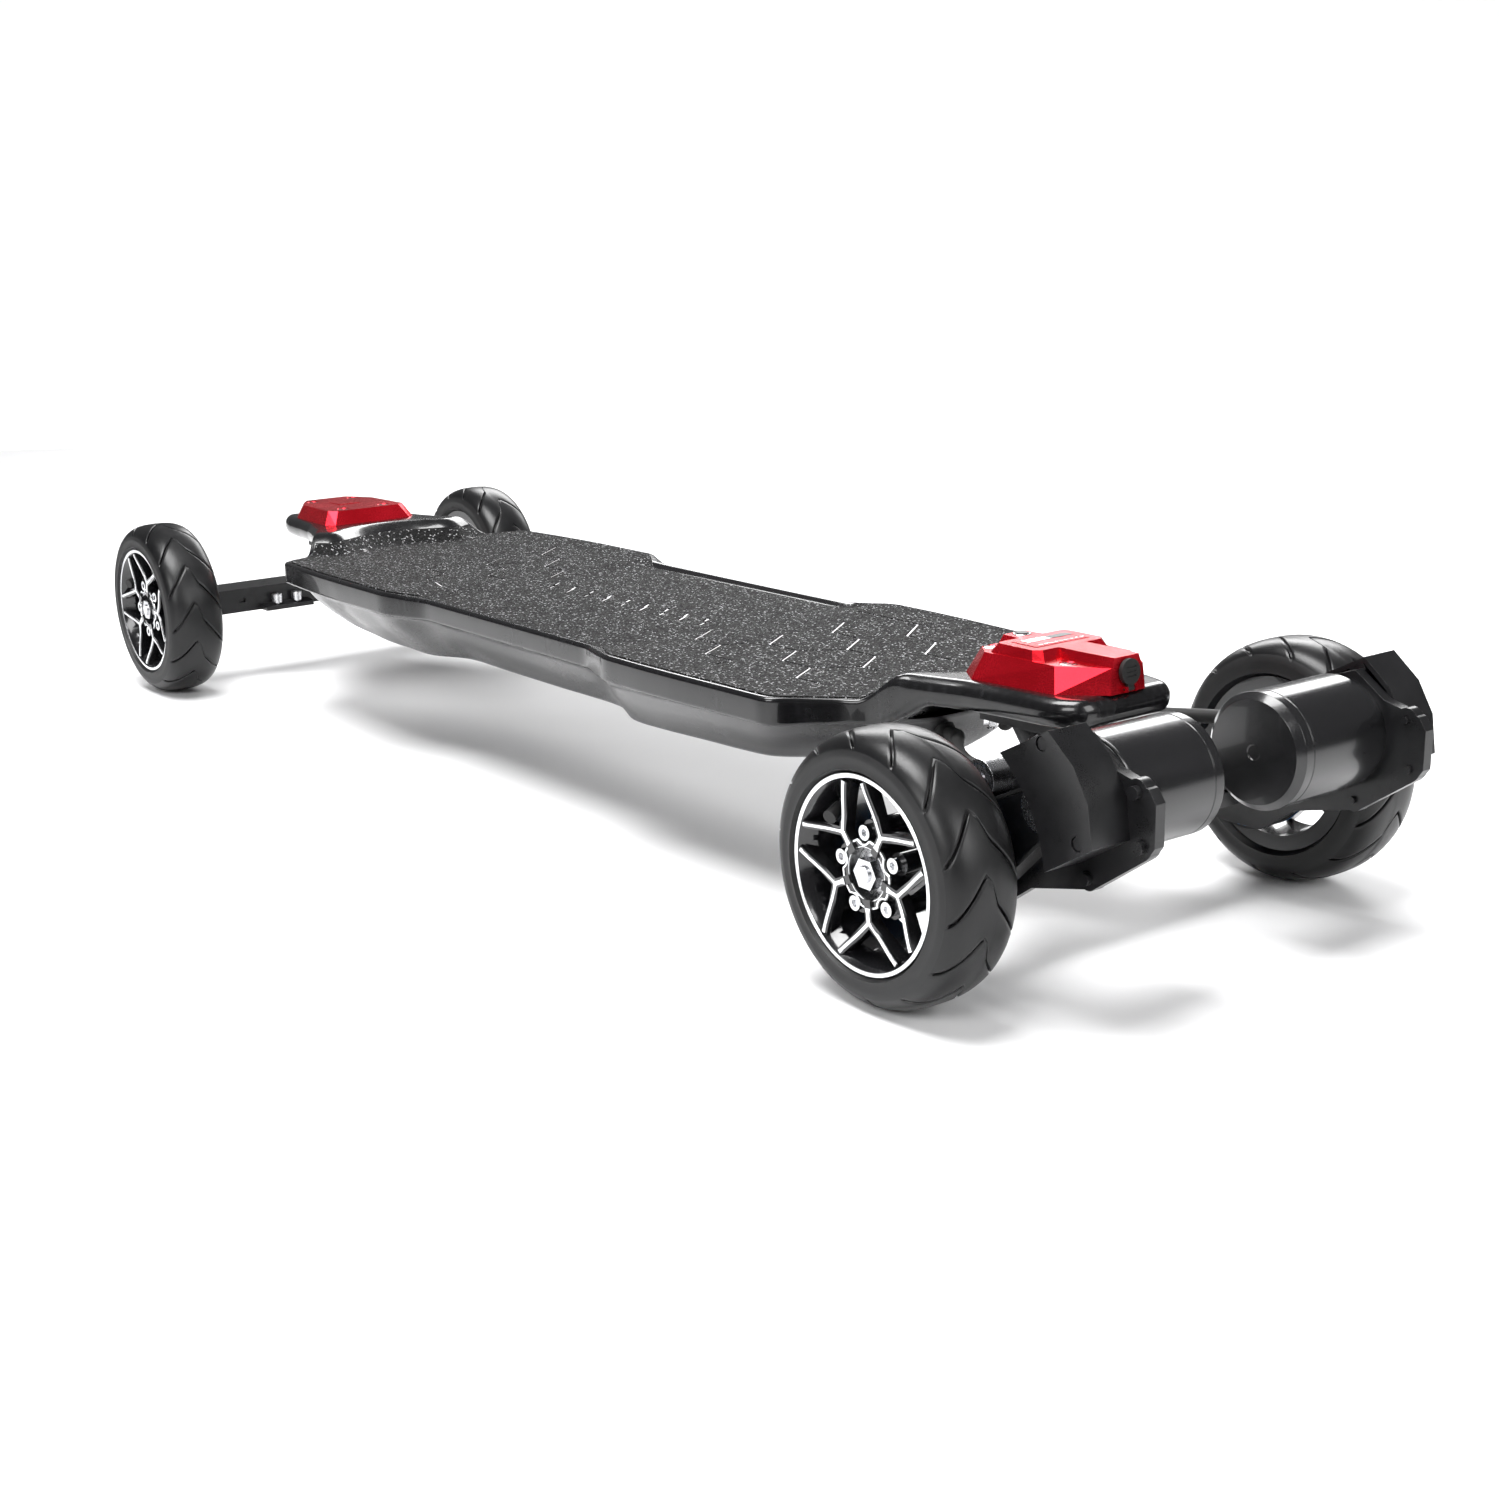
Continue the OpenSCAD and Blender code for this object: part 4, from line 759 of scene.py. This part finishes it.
def build_rim_lines(tag, x, side, turn):
    """The machined edges of the five forked spokes, the ring and the hub, on black ribs."""
    parts, ribs = [], []
    for i in range(5):
        a = 36 + i * 72
        fork = polar(27, a)
        parts.append(ribbon([polar(18.6, a), polar(22, a), polar(26.4, a)], [4.4, 2.6, 2.8], 19.9, SPOKE_IN_Y))
        for s in (-1, 1):
            kink = polar(38, a + s * 17.5)
            tip = polar(51.5, a + s * 27.3)
            soft = spline([fork, mix(np.array(fork), np.array(kink), 0.8), kink,
                           mix(np.array(kink), np.array(tip), 0.25), tip], 3)
            lift = [2.6] + [2.0] * (len(soft) - 2) + [2.6]
            rise = [spoke_face(q) for q in soft]
            ribs.append(ribbon([tuple(q) for q in soft], 4.4, 18.6, [z - 0.7 for z in rise]))
            parts.append(ribbon([tuple(q) for q in soft], lift, 19.2, rise))
    scallop = []
    for k in range(240):
        deg = k * 1.5
        r = 18.9
        for i in range(5):
            delta = math.radians((deg - i * 72 + 180) % 360 - 180)
            inside = 6.3 ** 2 - (22.4 * math.sin(delta)) ** 2
            if abs(delta) < 0.6 and inside > 0:
                r = min(r, 22.4 * math.cos(delta) - math.sqrt(inside))
        scallop.append(polar(r, deg))
    parts.append(ribbon(scallop, 1.3, 18.4, 19.7, closed=True))
    parts.append(ribbon([polar(14.9, k * 5) for k in range(72)], 0.5, 18.3, 19.2, closed=True))
    parts.append(ribbon([polar(54.6, k * 2.5) for k in range(144)], 2.7, 22.6, 24.15, closed=True))
    verts, faces = merged(parts)
    ob = piece(f"rim_{tag}_lines", on_wheel(x, side, turn, verts), faces, MACHINED, f"wheel_{tag}", slot="rim",
               sharp=30)
    outwards(ob)
    verts, faces = merged(ribs)
    ob = piece(f"rim_{tag}_ribs", on_wheel(x, side, turn, verts), faces, RIM_BLACK, f"wheel_{tag}", slot="rim",
               sharp=30)
    outwards(ob)


for tag, (x, side, turn) in WHEELS.items():
    build_tyre(tag, x, side)
    build_rim_lines(tag, x, side, turn)

# ------------------------------------------------------------------ motor cables and bushings

ROUTE = [[142, 26, 106], [128, 26, 106], [112, 26, 106], [100, 30, 107], [86, 42, 110], [70, 58, 112],
         [50, 74, 113],
         [28, 86, 114], [6, 92, 116], [-14, 94, 118], [-30, 94, 120], [-43.2, 94, 121]]
GLAND_R = [5.0, 6.6, 7.4, 7.8, 8, 8, 7.8, 7.2, 6.2, 5.0]
CABLE_R = 4.5
for side, word in ((1, "left"), (-1, "right")):
    path = [(REAR_X + p[0], side * p[1], p[2]) for p in spline(ROUTE, 6)]
    cable = piece(f"cable_{word}", *tube_mesh(path, CABLE_R), RUBBER, sharp=60)
    outwards(cable)
    if word == "left":
        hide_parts("motor_cables")
    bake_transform(cable)
    rings = [(REAR_X + 117.5 - 0.6 * k, side * 26, 106) for k in range(len(GLAND_R))]
    gland = piece(f"gland_{word}", *tube_mesh(rings, GLAND_R, 32), RUBBER, "board", slot="cable_jacket")
    outwards(gland)

# ------------------------------------------------------------------ marks on the rear cover


def tile(name, x0, x1, y0, y1, material):
    """A thin plate with chamfered edges on top of the rear badge plate."""
    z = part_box("badge_plates")[1].z / MM
    rings = []
    for inset, height in ((0, -0.1), (0, 0.1), (0.12, 0.2)):
        rings.append([(REAR_X + x, y, z + height) for x, y in
                      ((x0 + inset, y0 + inset), (x1 - inset, y0 + inset), (x1 - inset, y1 - inset),
                       (x0 + inset, y1 - inset))])
    ob = piece(name, *loft(rings), material, "board", slot="badge", flat=True)
    outwards(ob)


tile("mark_bright", 52.5, 60, -2.6, 17, MACHINED)
tile("mark_dark", 52.5, 60, -20.5, -3.2, BADGE)
for k in range(9):
    tile(f"mark_dash_{k}", 43.2, 45, -20 + 4.2 * k, -16.6 + 4.2 * k, MACHINED)

button_mid, button_top = middle("power_button"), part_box("power_button")[1].z / MM
bezel = []
for r, z in ((4.3, -1.6), (4.3, -0.9), (4.5, -0.7), (5.5, -0.7), (5.8, -1.0), (5.8, -1.6)):
    bezel.append([(button_mid.x + r * math.cos(a), button_mid.y + r * math.sin(a), button_top + z)
                  for a in (2 * math.pi * k / 48 for k in range(48))])
ring = piece("button_bezel", [p for row in bezel for p in row], strip_faces(6, 48, closed_rows=True), CHROME,
             "board", slot="button", sharp=40)
outwards(ring)

# ------------------------------------------------------------------ CAD nodes that show as they are

for node, material, width in (
        ("belly_lid", PLASTIC, 0.5), ("lid_gasket", RUBBER, 0), ("lid_screws", STEEL, 0.2),
        ("battery_cells", CELL, 0.3), ("battery_cradle", PLASTIC, 0), ("battery_board", BOARD, 0.2),
        ("speed_controller", CASE, 0.4),
        ("badge_plates", RED, 0.15), ("charge_socket", PLASTIC, 0.2), ("truck_bolts", CHROME, 0.2),
        ("riser_pads", RUBBER, 0.5), ("baseplates", DARK_METAL, 0.6), ("kingpins", STEEL, 0.25),
        ("front_bushings", URETHANE, 0.8), ("rear_bushings", URETHANE, 0.8), ("pivot_cups", CUP, 0.3),
        ("charge_cap", RUBBER, 0.3), ("power_button", PLASTIC, 0.3),
        ("front_hanger", SATIN, 0.7), ("front_axle", STEEL, 0.3), ("front_fasteners", STEEL, 0.3),
        ("rear_hanger", SATIN, 0.7), ("rear_axle", STEEL, 0.3), ("rear_fasteners", SATIN, 0.3),
        ("motor_plates", SATIN, 0.7), ("motors", MOTOR, 0.4), ("belt_covers", SATIN, 0.8),
        ("belts", RUBBER, 0.2),
        ("motor_pulley_left", STEEL, 0.1), ("motor_pulley_right", STEEL, 0.1), ("idler_left", STEEL, 0.2),
        ("idler_right", STEEL, 0.2), ("wheel_pulley_left", BLUE, 0.15), ("wheel_pulley_right", BLUE, 0.15)):
    dress(node, material, width)
for node in ("rear_cover", "front_cover"):
    dress(node, RED, 0.5, crisp=True)
NUT_Y = 0.181
nuts = nodes["rear_fasteners"]
nuts.data.materials.append(CHROME)
for face in nuts.data.polygons:
    face.material_index = 1 if abs((nuts.matrix_world @ face.center).y) > NUT_Y else 0
for tag in WHEELS:
    dress(f"rim_{tag}", RIM_BLACK, 0.35)
    dress(f"tube_{tag}", RUBBER, 0.3)
    dress(f"wheel_bolts_{tag}", CHROME, 0.25)
    dress(f"bearings_{tag}", STEEL, 0.2)

# ------------------------------------------------------------------ floor, light and camera


def floor_material(name, glow):
    mat, tree, bsdf = principled(name)
    where = coords(tree)
    pale = [(0.3, (0.86, 0.86, 0.865)), (0.7, (0.88, 0.88, 0.885))]
    tree.links.new(ramp(tree, noise(tree, where, 3, 3), pale), bsdf.inputs["Base Color"])
    tree.links.new(spread(tree, noise(tree, where, 8, 3), 0.5, 0.6), bsdf.inputs["Roughness"])
    bsdf.inputs["Specular IOR Level"].default_value = 0.25
    bsdf.inputs["Emission Color"].default_value = (1, 1, 1, 1)
    bsdf.inputs["Emission Strength"].default_value = glow
    return mat


def backdrop(name, section, material):
    """Part of the floor that sweeps up behind the board, as strips across the view."""
    rows, n = [], 40
    away = math.radians(BACK_AZ)
    f = np.array([-math.sin(away), math.cos(away)])
    r = np.array([f[1], -f[0]])
    for d, z in section:
        rows.append([tuple(1000 * v for v in (*(f * d + r * (k / (n - 1) - 0.5) * 22), z - 0.0005))
                     for k in range(n)])
    verts = [p for row in rows for p in row]
    ob = piece(name, verts, strip_faces(len(rows), n, closed_ring=False), material, sharp=60)
    return ob


BACK_AZ, BACK_EL, ROLL = 234.0404, 16.2010, -1.5977
backdrop("floor", [(-7, 0.0), (-3, 0.0), (0, 0.0), (2.5, 0.0)], floor_material("studio_floor", 0.0))
SWEEP_R = 2.5
sweep = [(SWEEP_R + SWEEP_R * math.sin(math.radians(a)), SWEEP_R - SWEEP_R * math.cos(math.radians(a)))
         for a in range(0, 91, 6)]
wall = backdrop("wall", sweep + [(5.0, 7.0)], floor_material("studio_wall", 0.55))
wall.visible_glossy = False

az, el, roll = (math.radians(v) for v in (BACK_AZ, BACK_EL, ROLL))
back = Vector((math.sin(az) * math.cos(el), -math.cos(az) * math.cos(el), math.sin(el)))
right = (-back).cross(Vector((0, 0, 1))).normalized()
up = right.cross(-back)
right, up = right * math.cos(roll) + up * math.sin(roll), -right * math.sin(roll) + up * math.cos(roll)
camera = bpy.data.objects.new("camera", bpy.data.cameras.new("camera"))
scene.collection.objects.link(camera)
turned = Matrix((right, up, back)).transposed()
place = Vector((REAR_X - 794.02, 855.45, 422.57)) * MM
camera.matrix_world = Matrix.Translation(place) @ turned.to_4x4()
camera.data.lens, camera.data.sensor_width = 48.974, 36
camera.data.shift_x, camera.data.shift_y = 0.0170, 0.0325
camera.data.clip_start, camera.data.clip_end = 0.05, 100
scene.camera = camera

world = bpy.data.worlds.new("studio")
scene.world = world
world.use_nodes = True
tree = world.node_tree
sky = tree.nodes.new("ShaderNodeTexCoord")
axis = tree.nodes.new("ShaderNodeSeparateXYZ")
tree.links.new(sky.outputs["Generated"], axis.inputs["Vector"])
tree.links.new(ramp(tree, spread(tree, axis.outputs["Z"], 0, 1, -0.2, 1.0),
                    [(0.0, (0.62, 0.62, 0.63)), (0.35, (0.6, 0.6, 0.61)), (1.0, (0.95, 0.95, 0.96))]),
               tree.nodes["Background"].inputs["Color"])
tree.nodes["Background"].inputs["Strength"].default_value = 0.22


def softbox(name, at, aim, size, power, tone=(1, 1, 1)):
    lamp = bpy.data.lights.new(name, "AREA")
    lamp.shape, lamp.size, lamp.size_y, lamp.energy, lamp.color = "RECTANGLE", size[0], size[1], power, tone
    ob = bpy.data.objects.new(name, lamp)
    scene.collection.objects.link(ob)
    ob.location = at
    ob.rotation_mode = "QUATERNION"
    ob.rotation_quaternion = (Vector(at) - Vector(aim)).to_track_quat("Z", "Y")
    return ob


softbox("top", (-0.1, 0.5, 2.4), (0, 0, 0), (1.5, 1.3), 110)
softbox("far", (1.6, -2.0, 1.5), (0, 0, 0.1), (2.4, 0.9), 60)
softbox("left", (-1.2, 2.4, 1.6), (0, 0, 0.1), (1.6, 1.0), 45)
softbox("rear", (-2.6, -0.6, 1.3), (-0.4, 0, 0.1), (1.2, 1.2), 30)

scene.view_settings.view_transform = "Standard"
scene.view_settings.look = "None"
